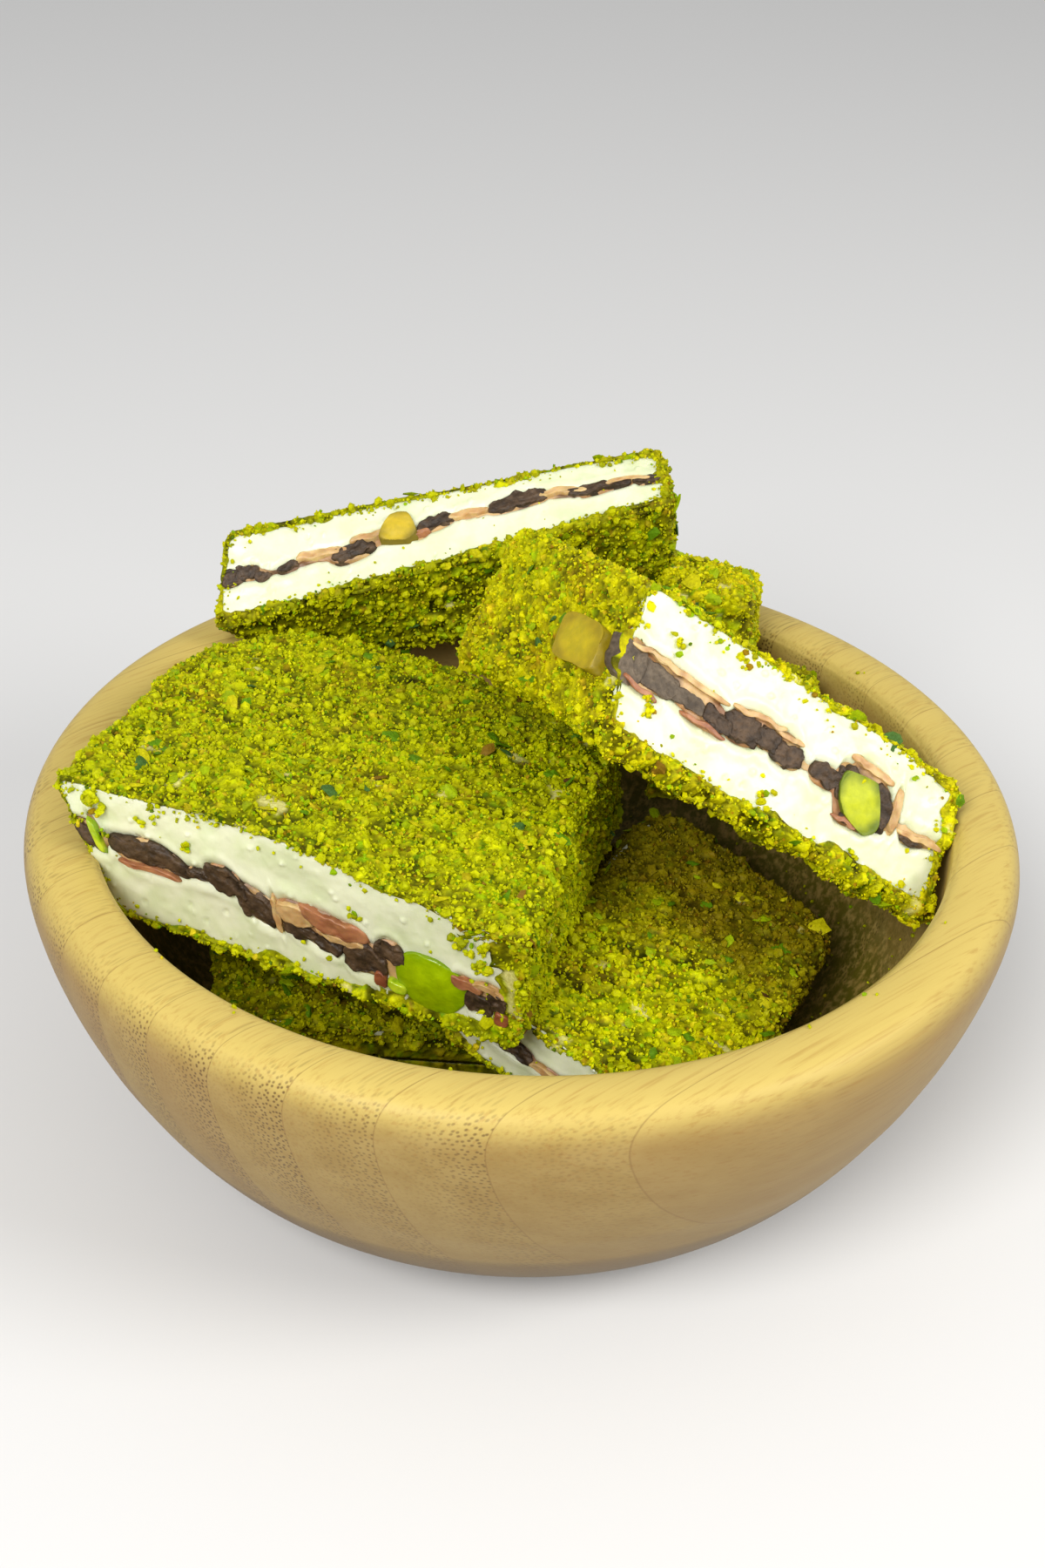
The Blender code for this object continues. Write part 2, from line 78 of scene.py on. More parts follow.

# The slabs as they are cut. tone: of the coat. turn: yaw, pitch and roll in degrees. size: length, depth
# from the cut face, thickness. corner, far_left_corner: plan radius. bow: of the far side. dents: in the
# top, swellings if negative: place from -1 to 1 both ways, radius, depth. uneven: how far each corner
# lies from a true box's, as Left or Right, Cut or Far side, Bottom or Top. hang: how the coat swells
# underneath. step, face_step: mesh spacing of coat and cut face. cover: how far the coat folds over the
# cut face, cover_right: more at its right end, cover_all: a coated cut face. clear: balls on the cut
# face kept free of grains: place along, height, radius. spills: clumps of crumbs on the cut face: place
# along, height, spread, number. line: the filling's height at the cut as a part of the thickness, at
# places from -1 to 1. chunks: in the filling at the cut: kind, place along, rise, half length, half height.
# Each slab's tone sets its coat's hue and a brightness that is partly painted light and shade: the coat is
# made lighter or darker to stand for how brightly that slab is lit.
SLABS = {
    "slab_a": {
        "tone": (1.06, 1.06, 0.8), "turn": (-15.2, 4.3, -3.4), "size": (55.9, 52.1, 15.1),
        "corner": 5, "far_left_corner": 19, "bow": 1.2,
        "dents": ((0.95, 0.9, 15, 3.2), (-0.1, -1, 18, -2.4)),
        "uneven": {"LCB": (6, 2.5, 0), "LCT": (-2.5, 2, 1.5), "LFT": (-2, -0.5, 0), "RCB": (0.5, -1, -1),
                   "RCT": (0.5, -3.5, 0), "RFT": (-3, -0.5, 0)},
        "hang": 0.2, "step": 0.37, "face_step": 0.25, "cover": 0.25, "cover_right": 4.2,
        "spills": ((-23.5, 5.6, 1.5, 34), (-15.7, 6, 0.8, 8), (-12.5, 3.4, 0.8, 8), (7.1, 2.4, 0.9, 9),
                   (-18, 4.6, 0.6, 5), (-24, 2.2, 0.6, 4), (20, 4.2, 1.4, 12), (22.5, 2, 1.2, 12)),
        "line": ((-1, 0.60), (-0.67, 0.545), (-0.31, 0.50), (-0.07, 0.42), (0.27, 0.38), (0.58, 0.365),
                 (0.86, 0.34), (1, 0.33)),
        "chunks": (
            ("dark", -26.4, 0.2, 2, 1.4), ("green", -25.2, 0.8, 0.55, 2), ("dark", -18.9, 0.2, 5.3, 1.25),
            ("pink", -19.5, -1.5, 4.4, 0.3), ("dark", -12.4, 0.1, 1.7, 0.55),
            ("dark", -8.9, 0.5, 2.7, 1.3), ("dark", -5.6, -0.5, 2.7, 1.7), ("tan", -2.9, -0.2, 0.45, 2),
            ("tan", -0.6, 0.6, 2.5, 1.1), ("pink", 4.6, 1.4, 4.5, 1.05), ("dark", 1.4, -1.2, 3.8, 0.8),
            ("tan", 5, 0.1, 3.2, 0.35), ("dark", 7.8, -1.1, 3, 1.8), ("red", 9.8, -3, 0.9, 0.9),
            ("green", 12, -2.8, 1.4, 0.7), ("dark", 11.4, 0.9, 1.9, 1.2), ("pink", 20.9, 1.2, 2.1, 0.7),
            ("dark", 22.4, -0.6, 1.6, 1.4), ("dark", 24.8, 0.6, 1.4, 1.2), ("red", 25.4, -1.3, 1, 0.9),
            ("tan", 23.6, 1.9, 2.3, 0.4)),
    },
    "slab_b": {
        "tone": (1.06, 1.02, 0.8), "turn": (9.2, -13.1, -76.6), "size": (59.3, 17.3, 11.2),
        "corner": 3, "far_left_corner": 4,
        "uneven": {"LCB": (-3.5, 3, 1), "LCT": (0, -3, 0.5), "LFB": (3.2, 0, 2.5),
                   "LFT": (5.4, -2.2, -5.6), "RCB": (0, 0.5, 1), "RFB": (-2.5, 0, 0.5)},
        "hang": 0.9, "step": 0.37, "face_step": 0.25, "cover": 0.3, "cover_right": 0.8,
        "line": ((-1, 0.48), (-0.82, 0.46), (-0.32, 0.50), (-0.06, 0.56), (0.32, 0.61), (0.72, 0.54),
                 (1, 0.46)),
        "chunks": (
            ("dark", -28, -0.1, 1.3, 0.85), ("dark", -25.9, 0.3, 1.5, 0.95), ("dark", -23.9, -0.2, 1, 0.6),
            ("dark", -20.7, 0, 1.5, 0.6), ("tan", -16.2, 0.3, 3.6, 0.5), ("dark", -12.2, -0.2, 3.3, 1),
            ("tan", -9.6, 1, 3.2, 0.5), ("pink", -3.2, -0.8, 1.3, 0.4), ("dark", -1.2, 0.1, 2.5, 0.9),
            ("tan", 3.2, 0.2, 2.8, 0.45), ("dark", 9.6, 0.2, 4.1, 1.2), ("tan", 15.6, 0.3, 3.4, 0.55),
            ("dark", 20.5, 0, 4.3, 0.65), ("tan", 24.2, 0.5, 3, 0.35), ("dark", 26.8, -0.1, 2.2, 0.55)),
    },
    "slab_c": {
        "tone": (1.32, 1.20, 0.9), "turn": (3, 35.3, -31.8), "size": (49.5, 31.8, 15.1),
        "corner": 4, "far_left_corner": 4.5,
        "uneven": {"LCB": (4, -1.5, -2.5), "LCT": (1.5, 3.5, 1), "LFB": (-6.3, 3, -0.2),
                   "LFT": (-7.5, 0.5, 3.6), "RCB": (2.5, -1.5, 0), "RCT": (-1, -0.5, 0.5),
                   "RFB": (3.5, -9.5, 2), "RFT": (-1, -8.5, -5.5)},
        "hang": 1.9, "step": 0.37, "face_step": 0.25, "cover": 0.5, "cover_right": 0.8,
        "clear": ((-24.2, 0.4, 2.9), (-21.4, 0, 1.8)),
        "spills": ((-2, -5.2, 1.1, 12), (-3.4, 7, 1, 9), (-20.6, -2.4, 0.9, 9), (-18.5, 4, 1.2, 10),
                   (-20, -3.6, 1, 8), (12, -6, 1, 7), (-9.5, 5.8, 0.9, 6), (17.5, 5, 0.7, 4)),
        "line": ((-1, 0.47), (-0.7, 0.49), (-0.36, 0.48), (-0.16, 0.51), (0.1, 0.485), (0.22, 0.50),
                 (0.44, 0.50), (0.73, 0.46), (0.92, 0.505), (1, 0.52)),
        "chunks": (
            ("grey", -23.6, 0.1, 2, 2.1), ("grey", -20.2, 0, 3.4, 1.35), ("grey", -15.6, -0.1, 3.2, 0.9),
            ("dark", -10.9, -0.3, 2.2, 1.1), ("dark", -7.2, 0.1, 2.6, 1.6), ("dark", -3.6, 0.3, 2, 1.15),
            ("dark", -0.6, -0.2, 2.5, 1.3), ("dark", 5.4, 0, 2.3, 1.2), ("dark", 8.4, 0.4, 1.6, 2.2),
            ("dark", 13.9, 0.2, 1.9, 2.6), ("dark", 11.4, -2.6, 2.6, 0.9), ("tan", 11.6, 3.3, 3.6, 0.5),
            ("tan", 16.2, 1, 0.7, 2.5), ("tan", 20.6, -0.4, 3.6, 0.4), ("dark", 19.4, -1, 1.9, 0.35),
            ("tan", -17, 1.65, 7.6, 0.36), ("pink", -21.8, -1.75, 2.6, 0.3), ("tan", -5.5, 1.9, 4.2, 0.36),
            ("tan", -0.6, 1.5, 2.2, 0.3), ("pink", -12.4, -1.5, 3.4, 0.3), ("pink", 9.4, -3.3, 2.2, 0.3)),
    },
    "slab_d": {
        "tone": (1.30, 1.26, 0.7), "turn": (-30.6, 15.1, -3), "size": (34, 50.9, 12.1),
        # Slab D's far side is darker brown: partly its crust's own colour, partly painted shadow of slab C
        # over it.
        "corner": 6, "far_left_corner": 4, "far_brown_and_shadow": 0.75,
        "uneven": {"LCB": (0, 0, 2.4), "LCT": (1.5, 2, -2.8), "LFB": (-3, 0, 2), "LFT": (0.3, 0.5, -3.1),
                   "RCB": (-2.5, -0.5, 1), "RCT": (1, 0, -0.5), "RFB": (-4.5, -6.5, 1.4),
                   "RFT": (-4.6, -6, 0.3)},
        "hang": 0.2, "step": 0.40, "face_step": 0.35, "cover_right": 0.8,
        "line": ((-1, 0.48), (1, 0.48)),
        "chunks": (("dark", -14.2, 0, 2.7, 1.5), ("dark", -8.8, 0.2, 3.3, 1.4), ("tan", -4, 0, 2, 0.6),
                   ("dark", 1, 0, 3, 1.1), ("dark", 8, 0, 3, 1), ("dark", 14, 0, 2, 0.9)),
    },
    "slab_e": {
        "tone": (1.28, 1.16, 0.5), "turn": (-12, -3.2, 84.9), "size": (13.5, 30.5, 14.5),
        "corner": 2.5, "far_left_corner": 2.5,
        "uneven": {"LFB": (1, 0, 0), "RCB": (-0.8, 2.5, 1.2), "RFB": (-1, -2, 0)},
        "step": 0.42,
        "chunks": (("dark", -3.5, 0, 2, 0.8), ("dark", 2.8, 0.1, 2.4, 0.9)),
    },
    "slab_f": {
        "tone": (1.1, 1.05, 0.8), "turn": (-100.5, 6.4, 85.5), "size": (14.6, 20.6, 6.8),
        "corner": 2.5, "far_left_corner": 2.5,
        "uneven": {"LCB": (1, 1, 0.6), "LCT": (0.5, 0, -1), "LFT": (-1, 0.5, 0), "RCB": (-0.8, 0, 0),
                   "RCT": (-0.8, 0, 0), "RFB": (-0.8, 0, 0), "RFT": (-1.4, -0.5, 0)},
        "step": 0.45,
        "chunks": (("dark", -3.2, 0, 1.8, 0.5), ("dark", 2.9, 0, 2, 0.5)),
    },
    "slab_g": {
        "tone": (0.9, 0.86, 0.9), "turn": (7, 7.5, 0.9), "size": (48.5, 34, 12.2),
        "corner": 9, "far_left_corner": 9,
        "uneven": {"LCB": (2.5, 1.5, 1.8), "LFB": (2.5, -1.5, 1.8), "RCB": (-2.5, 1.5, 1.8),
                   "RCT": (0, 0, -0.5), "RFB": (-2.5, -1.5, 1.8)},
        "step": 0.50, "cover_all": 6.05,
        "line": ((-1, 0.49), (1, 0.49)),
    },
}
# What a slab has where its own entry says nothing else.
USUAL = {"bow": 0, "far_brown_and_shadow": 0, "dents": (), "clear": (), "spills": (), "chunks": (), "hang": 0,
         "face_step": 0.5, "cover": 0.4, "cover_right": 0.5, "cover_all": 0, "line": ((-1, 0.5), (1, 0.5))}
SLABS = {name: USUAL | own for name, own in SLABS.items()}


# ---- numbers for surfaces

def hashed(cell, seed):
    """A repeatable number from 0 to 1 for each lattice cell: the fraction of a large sine."""
    wave = np.sin(cell @ np.array([127.1, 311.7, 74.7]) + seed * 53.3) * 43758.5453
    return wave - np.floor(wave)


def noise(points, size, seed):
    """Smooth noise from -1 to 1: numbers on a lattice of this size, blended by a smooth step."""
    q = points / size
    cell = np.floor(q)
    f = q - cell
    f = f * f * (3 - 2 * f)
    total = np.zeros(len(points))
    for corner in np.ndindex(2, 2, 2):
        side = np.array(corner)
        weight = np.prod(np.where(side == 1, f, 1 - f), axis=1)
        total += weight * hashed(cell + side, seed)
    return 2 * total - 1


def rough(points, size, seed, octaves=3):
    """Noise with finer noise on it: each octave is half as large and half as strong."""
    total = np.zeros(len(points))
    for k in range(octaves):
        total += noise(points, size / 2**k, seed + 7 * k) / 2**k
    return total


def grains(points, size, seed):
    """For each point the distance to its nearest grain's middle, in grain sizes, that grain's own
    number, and how high the point lies on the grain's own slant. The middles are the cells of a
    lattice, each moved by a random part of a cell."""
    q = points / size
    cell = np.floor(q)
    nearest = np.full(len(points), 9.0)
    number = np.zeros(len(points))
    slant = np.zeros(len(points))
    for step in np.ndindex(3, 3, 3):
        other = cell + np.array(step) - 1
        middle = np.stack([hashed(other, seed + k) for k in (1, 2, 3)], -1)
        offset = q - other - middle
        away = np.linalg.norm(offset, axis=1)
        closer = away < nearest
        slant = np.where(closer, np.sum(offset * (2 * middle - 1), axis=1), slant)
        number = np.where(closer, hashed(other, seed + 4), number)
        nearest = np.minimum(nearest, away)
    return nearest, number, slant


def dome(distance, width):
    """A half ball's height over its foot, 1 in the middle and 0 from width outwards."""
    return np.sqrt(np.clip(1 - (distance / width) ** 2, 0, 1))


def chips(points, size, seed, width, lean):
    """Flat-topped chips with steep sides, their tops leaning: the height at each point, and the own
    number of the chip there."""
    distance, number, slant = grains(points, size * GRAIN, seed)
    height = np.clip(1 - (distance / width) ** 4, 0, 1) * np.clip(1 + lean * slant, 0.2, 1.8)
    return height, number


def blend(a, b, t):
    return a + (b - a) * t


def linear(r, g, b):
    """A colour from 0 to 255 as shown, as the light it stands for."""
    c = np.array([r, g, b]) / 255
    return np.where(c < 0.04045, c / 12.92, ((c + 0.055) / 1.055) ** 2.4)


# ---- meshes

def ring_triangles(rows, count):
    """Triangles of a closed body: a first pole, rows of count points each, and a last pole."""
    k = np.arange(count)
    n = (k + 1) % count
    first = np.stack([0 * k, 1 + n, 1 + k], -1)
    a = 1 + (np.arange(rows - 1) * count)[:, None]
    quads = np.stack([a + k, a + n, a + count + n, a + count + k], -1).reshape(-1, 4)
    body = np.concatenate([quads[:, [0, 1, 2]], quads[:, [0, 2, 3]]])
    b = 1 + (rows - 1) * count
    last = np.stack([b + k, b + n, 0 * k + 1 + rows * count], -1)
    return np.concatenate([first, body, last])


def outward(points, triangles):
    """The triangles turned so that the body's volume is positive and its faces look out."""
    a, b, c = points[triangles.T]
    volume = np.einsum("ij,ij->", a, np.cross(b, c))
    return triangles if volume > 0 else triangles[:, ::-1]


def triangle_normals(points, triangles):
    """Each triangle's normal, as long as twice its area."""
    a, b, c = points[triangles.T]
    return np.cross(b - a, c - a)


def point_normals(points, triangles):
    """At each point the sum of its triangles' normals, made one long."""
    face = triangle_normals(points, triangles)
    total = np.zeros_like(points)
    for k in range(3):
        for axis in range(3):
            total[:, axis] += np.bincount(triangles[:, k], face[:, axis], len(points))
    return total / (np.linalg.norm(total, axis=1)[:, None] + 1e-12)


def show(name, data):
    made = bpy.data.objects.new(name, data)
    bpy.context.scene.collection.objects.link(made)
    return made


def make_piece(name, points, triangles, look, replaced=(), tint=None):
    """A mesh of its own from points in millimetres, riding on the bowl. Single crumbs have flat faces."""
    material, slot = LOOKS[look]
    mesh = bpy.data.meshes.new(name)
    mesh.vertices.add(len(points))
    mesh.vertices.foreach_set("co", (points * MM).astype(np.float32).ravel())
    mesh.loops.add(triangles.size)
    mesh.polygons.add(len(triangles))
    mesh.polygons.foreach_set("loop_start", np.arange(0, triangles.size, 3, dtype=np.int32))
    mesh.polygons.foreach_set("vertices", triangles.astype(np.int32).ravel())
    mesh.polygons.foreach_set("use_smooth", np.full(len(triangles), look != "crumb"))
    mesh.update(calc_edges=True)
    mesh.materials.append(material)
    if tint is not None:
        layer = mesh.color_attributes.new("tint", "FLOAT_COLOR", "POINT")
        colour = np.column_stack([tint, np.ones(len(tint))]).astype(np.float32)
        layer.data.foreach_set("color", colour.ravel())
    piece = show(name, mesh)
    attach(piece, "root")
    if replaced:
        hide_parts(*replaced)
    return piece


# ---- materials

class Recipe:
    """A material being mixed: each call adds one node and returns its output."""

    def __init__(self, name, roughness, specular=0.5):
        self.material = bpy.data.materials.new(name)
        self.material.use_nodes = True
        self.tree = self.material.node_tree
        self.skin = self.tree.nodes["Principled BSDF"].inputs
        self.skin["Roughness"].default_value = roughness
        self.skin["Specular IOR Level"].default_value = specular

    def join(self, source, target):
        if hasattr(source, "is_output"):
            self.tree.links.new(source, target)
        else:
            target.default_value = source

    def node(self, kind, sockets, out=None, **values):
        made = self.tree.nodes.new(kind)
        for key, value in values.items():
            setattr(made, key, value)
        for key, source in sockets.items():
            self.join(source, made.inputs[key])
        return made.outputs if out is None else made.outputs[out]

    def object_place(self):
        return self.node("ShaderNodeTexCoord", {}, "Object")

    def mapped(self, vector, scale=(1, 1, 1), turn=0.0):
        sockets = {"Vector": vector, "Scale": scale, "Rotation": (0, 0, np.radians(turn))}
        return self.node("ShaderNodeMapping", sockets, "Vector")

    def cloud(self, vector, scale, detail=3.0, rough=0.5):
        sockets = {"Vector": vector, "Scale": scale, "Detail": detail, "Roughness": rough}
        return self.node("ShaderNodeTexNoise", sockets, "Fac")

    def calc(self, kind, a, b=0.0, clamp=False):
        return self.node("ShaderNodeMath", {0: a, 1: b}, 0, operation=kind, use_clamp=clamp)

    def times(self, a, b):
        return self.calc("MULTIPLY", a, b)

    def ramp(self, value, low, high, to_low=0.0, to_high=1.0):
        """The value carried from the span low..high to to_low..to_high, with soft ends."""
        sockets = {"Value": value, "From Min": low, "From Max": high, "To Min": to_low, "To Max": to_high}
        return self.node("ShaderNodeMapRange", sockets, "Result", interpolation_type="SMOOTHSTEP")

    def mix(self, factor, a, b, way="MIX"):
        a, b = (tuple(c) + (1.0,) if isinstance(c, (tuple, np.ndarray)) else c for c in (a, b))
        sockets = {"Factor": factor, "A": a, "B": b}
        return self.node("ShaderNodeMix", sockets, "Result", data_type="RGBA", blend_type=way)

    def tint(self):
        return self.node("ShaderNodeAttribute", {}, "Color", attribute_name="tint")

    def colour(self, source):
        self.join(source, self.skin["Base Color"])

    def tinted(self, light):
        """Coloured by the mesh's own tint times this."""
        self.colour(self.mix(1.0, self.tint(), light, "MULTIPLY"))

    def bump(self, height, depth_mm, strength):
        sockets = {"Height": height, "Distance": depth_mm * MM, "Strength": strength}
        self.join(self.node("ShaderNodeBump", sockets, "Normal"), self.skin["Normal"])

    def translucent(self, weight, depth_mm, radius):
        for key, value in (("Weight", weight), ("Scale", depth_mm * MM), ("Radius", radius)):
            self.skin["Subsurface " + key].default_value = value


def bamboo():
    """Strips glued side by side, each its own tone. Fibre bundles are rods along the strips, so they
    show as rows of dots where the wall cuts across them and as streaks where it runs along them. The
    tint's red is painted shade on the low inner wall, olive like ground pistachio; its green is how pale
    the wood outside is left by painted shade, darker towards the foot."""
    m = Recipe("bamboo", 0.46, 0.22)
    place = m.mapped(m.object_place(), turn=-FIBRE_ANGLE)
    along, across, up = m.node("ShaderNodeSeparateXYZ", {"Vector": place})
    strip = m.calc("DIVIDE", m.calc("SUBTRACT", across, FIRST_GLUE_PLANE * MM), STRIP_WIDTH * MM)
    within = m.calc("FRACT", strip)
    tone = m.node("ShaderNodeTexWhiteNoise", {"W": m.calc("FLOOR", strip)}, "Value", noise_dimensions="1D")
    # Rods: cells in the plane across the fibres, each strip's rows set at their own height.
    shifted = m.calc("ADD", up, m.times(tone, 0.01))
    plane = m.node("ShaderNodeCombineXYZ", {"X": across, "Y": shifted}, "Vector")
    spread = {"Vector": plane, "Scale": 1 / (BUNDLE_SPACING * MM), "Randomness": 0.85}
    rods = m.node("ShaderNodeTexVoronoi", spread, "Distance", voronoi_dimensions="2D")
    core = m.ramp(rods, 0.10, 0.38, 1.0, 0.0)
    crowd = m.ramp(within, 0.0, 0.9, 1.0, 0.12)
    fade = m.ramp(m.cloud(m.object_place(), 28.0, 2.0), 0.35, 0.65, 0.45, 1.0)
    square = m.calc("ADD", m.times(along, along), m.times(across, across))
    end_on = m.ramp(m.calc("DIVIDE", m.times(along, along), square), 0.15, 0.7, 0.12, 1.0)
    dots = m.times(m.times(core, crowd), m.times(fade, end_on))
    dots = m.calc("MULTIPLY", dots, m.ramp(up, 0.0425, 0.0446, 1.4, 0.45), clamp=True)
    # Fine fibres: noise stretched along the strips.
    stretched = m.mapped(place, scale=(0.03, 1, 1))
    fibre = m.cloud(stretched, 2300.0, 4.0, 0.6)
    broad = m.cloud(m.mapped(place, scale=(0.12, 1, 1)), 260.0, 3.0, 0.55)
    base = m.mix(m.ramp(broad, 0.3, 0.7), linear(190, 162, 94), linear(176, 146, 78))
    base = m.mix(m.ramp(tone, 0.0, 1.0, 0.0, 0.6), base, linear(168, 134, 80))
    # Painted light: the wood is lighter towards the top of the lip.
    base = m.mix(m.ramp(up, 0.040, 0.0445, 0.0, 0.8), base, linear(210, 187, 102))
    base = m.mix(m.ramp(fibre, 0.48, 0.74, 0.0, 0.42), base, linear(162, 116, 52))
    base = m.mix(m.times(dots, 0.8), base, linear(88, 62, 34))
    grit = m.ramp(m.cloud(m.object_place(), 900.0, 3.0, 0.6), 0.3, 0.6, 0.35, 1.0)
    # Painted shade from the tint: the low inner wall darker and olive like ground pistachio, the outside
    # darker towards the foot.
    inner_shade, pale, _ = m.node("ShaderNodeSeparateColor", {"Color": m.tint()})
    base = m.mix(pale, linear(86, 66, 40), base)
    base = m.mix(m.times(inner_shade, grit), base, linear(84, 80, 8))
    glue = m.ramp(m.calc("ABSOLUTE", m.calc("SUBTRACT", within, 0.5)), 0.488, 0.5, 0.0, 0.45)
    m.colour(m.mix(glue, base, linear(120, 88, 48)))
    height = m.calc("SUBTRACT", m.times(fibre, 0.5), m.times(dots, 0.5))
    m.bump(height, 0.06, 0.5)
    return m.material


def ground_pistachio(name, gloss):
    """Coloured by the grains' own tint, with finer specks and pits inside each grain."""
    m = Recipe(name, gloss, 0.10)
    place = m.object_place()
    speck = m.cloud(place, 2600.0, 3.0, 0.65)
    m.tinted(m.mix(m.ramp(speck, 0.3, 0.72), (0.80, 0.78, 0.5), (1.16, 1.16, 1.0)))
    m.bump(m.cloud(place, 3400.0, 2.0, 0.6), 0.10, 0.8)
    m.translucent(0.10, 0.8, (1.0, 1.0, 0.1))
    return m.material


def white_delight():
    """Soft white jelly: light passes a few millimetres into it, and it has faint mottles."""
    m = Recipe("white_delight", 0.33, 0.45)
    place = m.object_place()
    mottle = m.cloud(place, 220.0, 4.0, 0.55)
    m.colour(m.mix(m.ramp(mottle, 0.35, 0.7), linear(234, 237, 204), linear(218, 226, 182)))
    fine = m.cloud(place, 900.0, 3.0, 0.5)
    m.bump(fine, 0.12, 0.45)
    m.translucent(0.45, 2.2, (1.0, 0.97, 0.8))
    return m.material


def chocolate():
    """Coloured by its tint, with coarse and fine roughness and a dull shine."""
    m = Recipe("chocolate_filling", 0.5, 0.4)
    place = m.object_place()
    grit = m.cloud(place, 1500.0, 4.0, 0.6)
    m.tinted(m.mix(m.ramp(grit, 0.3, 0.7), (0.7, 0.68, 0.66), (1.3, 1.3, 1.3)))
    m.bump(grit, 0.25, 0.9)
    return m.material


def kernel_skin(name, roughness):
    """A waxy kernel: its tint, faint veins and a soft inner light."""
    m = Recipe(name, roughness, 0.5)
    place = m.object_place()
    vein = m.cloud(place, 700.0, 3.0, 0.6)
    m.tinted(m.mix(m.ramp(vein, 0.3, 0.7), (0.87, 0.89, 0.8), (1.10, 1.08, 1.05)))
    m.bump(m.cloud(place, 1400.0, 3.0, 0.5), 0.12, 0.5)
    m.translucent(0.2, 1.2, (1.0, 1.0, 0.1))
    return m.material


# Each look's material and slot.
LOOKS = {
    "bamboo": (bamboo(), "bamboo"),
    "coat": (ground_pistachio("crumb_coat", 0.62), "crumb_coat"),
    "crumb": (ground_pistachio("loose_crumbs", 0.55), "crumb_coat"),
    "white": (white_delight(), "delight_white"),
    "chocolate": (chocolate(), "chocolate_filling"),
    "kernel": (kernel_skin("pistachio_kernel", 0.24), "pistachio"),
    "dull kernel": (kernel_skin("dull_kernel", 0.55), "pistachio"),
    "nut": (kernel_skin("golden_nut", 0.5), "nut"),
    "smear": (kernel_skin("nougat_smear", 0.45), "chocolate_filling"),
}

# Ground pistachio: the shares of its colours.
GRAIN_COLOURS = (
    (0.44, linear(186, 191, 0)), (0.20, linear(200, 202, 4)), (0.20, linear(166, 174, 0)),
    (0.07, linear(138, 176, 0)), (0.03, linear(206, 188, 36)), (0.03, linear(150, 122, 16)),
    (0.03, linear(92, 122, 6)),
)
BROWN = linear(150, 122, 18)
# A dark brown for a slab's far side: partly the crust's own colour, partly painted shadow.
DARK_BROWN_AND_SHADOW = linear(98, 66, 8)


def grain_colour(number):
    """A colour for each grain: its own number falls in one colour's share."""
    edges = np.cumsum([share for share, _ in GRAIN_COLOURS])
    palette = np.array([colour for _, colour in GRAIN_COLOURS])
    which = np.clip(np.searchsorted(edges, number * edges[-1]), 0, len(palette) - 1)
    return palette[which]


# ---- the slab's shape

def line_level(slab, x):
    """Height of the filling's middle over the slab's middle, along the slab."""
    place, part = np.array(slab["line"], float).T
    return (np.interp(2 * x / slab["size"][0], place, part) - 0.5) * slab["size"][2]


def band(slab, x, y):
    """The heights of the filling's underside and top: a thin film of uneven thickness, spread apart
    wherever a chunk lies in it by that chunk's own rounded outline."""
    where = np.stack([x, 0.5 * y, 0 * x], -1)
    top = 0.26 + 0.2 * noise(where, 2.6, 31) + 0.12 * noise(where, 0.9, 32)
    bottom = -0.22 + 0.16 * noise(where, 2.3, 33) + 0.10 * noise(where, 0.8, 34)
    wander = 0.35 * noise(where, 4.5, 35)
    for _, along, rise, half_length, half_height in slab["chunks"]:
        open_here = np.sqrt(np.clip(1 - np.abs((x - along) / half_length) ** 2.6, 0, 1))
        top = np.maximum(top, open_here * (rise + half_height))
        bottom = np.minimum(bottom, open_here * (rise - half_height))
    level = line_level(slab, x) + wander
    return level + bottom, level + top + 0.05 * noise(where, 0.5, 36)


def quarter_disc(a, b):
    """The factor that turns a square corner, reached by a and b, into a quarter disc."""
    span = np.hypot(a, b)
    return np.where(span < 1e-9, 1.0, np.maximum(a, b) / np.maximum(span, 1e-9))


def round_corner(p, q, half_p, half_q, radius):
    """Coordinates p and q with the corner of the rectangle half_p by half_q rounded by the radius."""
    a = np.clip(np.abs(p) - (half_p - radius), 0, None)
    b = np.clip(np.abs(q) - (half_q - radius), 0, None)
    k = quarter_disc(a, b)
    p = np.sign(p) * (np.minimum(np.abs(p), half_p - radius) + a * k)
    q = np.sign(q) * (np.minimum(np.abs(q), half_q - radius) + b * k)
    return p, q


def rounded(slab, box):
    """Points of a true box carried onto the slab's outside. Its long edges, the edges of its far and
    cut sides and its upright corners are rounded in turn, then the far side bows, and the top takes
    its dents and swellings."""
    length, depth, thick = slab["size"]
    half = np.array([length, depth, thick]) / 2
    x, y, z = box.T
    x, z = round_corner(x, z, half[0], half[2], EDGE_ROUND)
    edge = np.where(y < 0, CUT_EDGE_ROUND, EDGE_ROUND)
    y, z = round_corner(y, z, half[1], half[2], edge)
    far = np.where(x < 0, slab["far_left_corner"], slab["corner"])
    x, y = round_corner(x, y, half[0], half[1], np.where(y < 0, CUT_CORNER, far))
    t = np.clip(x / length + 0.5, 0, 1)
    y = y + slab["bow"] * 4 * t * (1 - t) * np.clip(y / depth + 0.5, 0, 1)
    for along, across, reach, deep in slab["dents"]:
        u = x - along * half[0]
        v = y - across * half[1]
        z = z - deep * np.exp(-(u * u + v * v) / reach**2) * np.clip(z / thick + 0.5, 0, 1)
    return np.stack([x, y, z], -1)


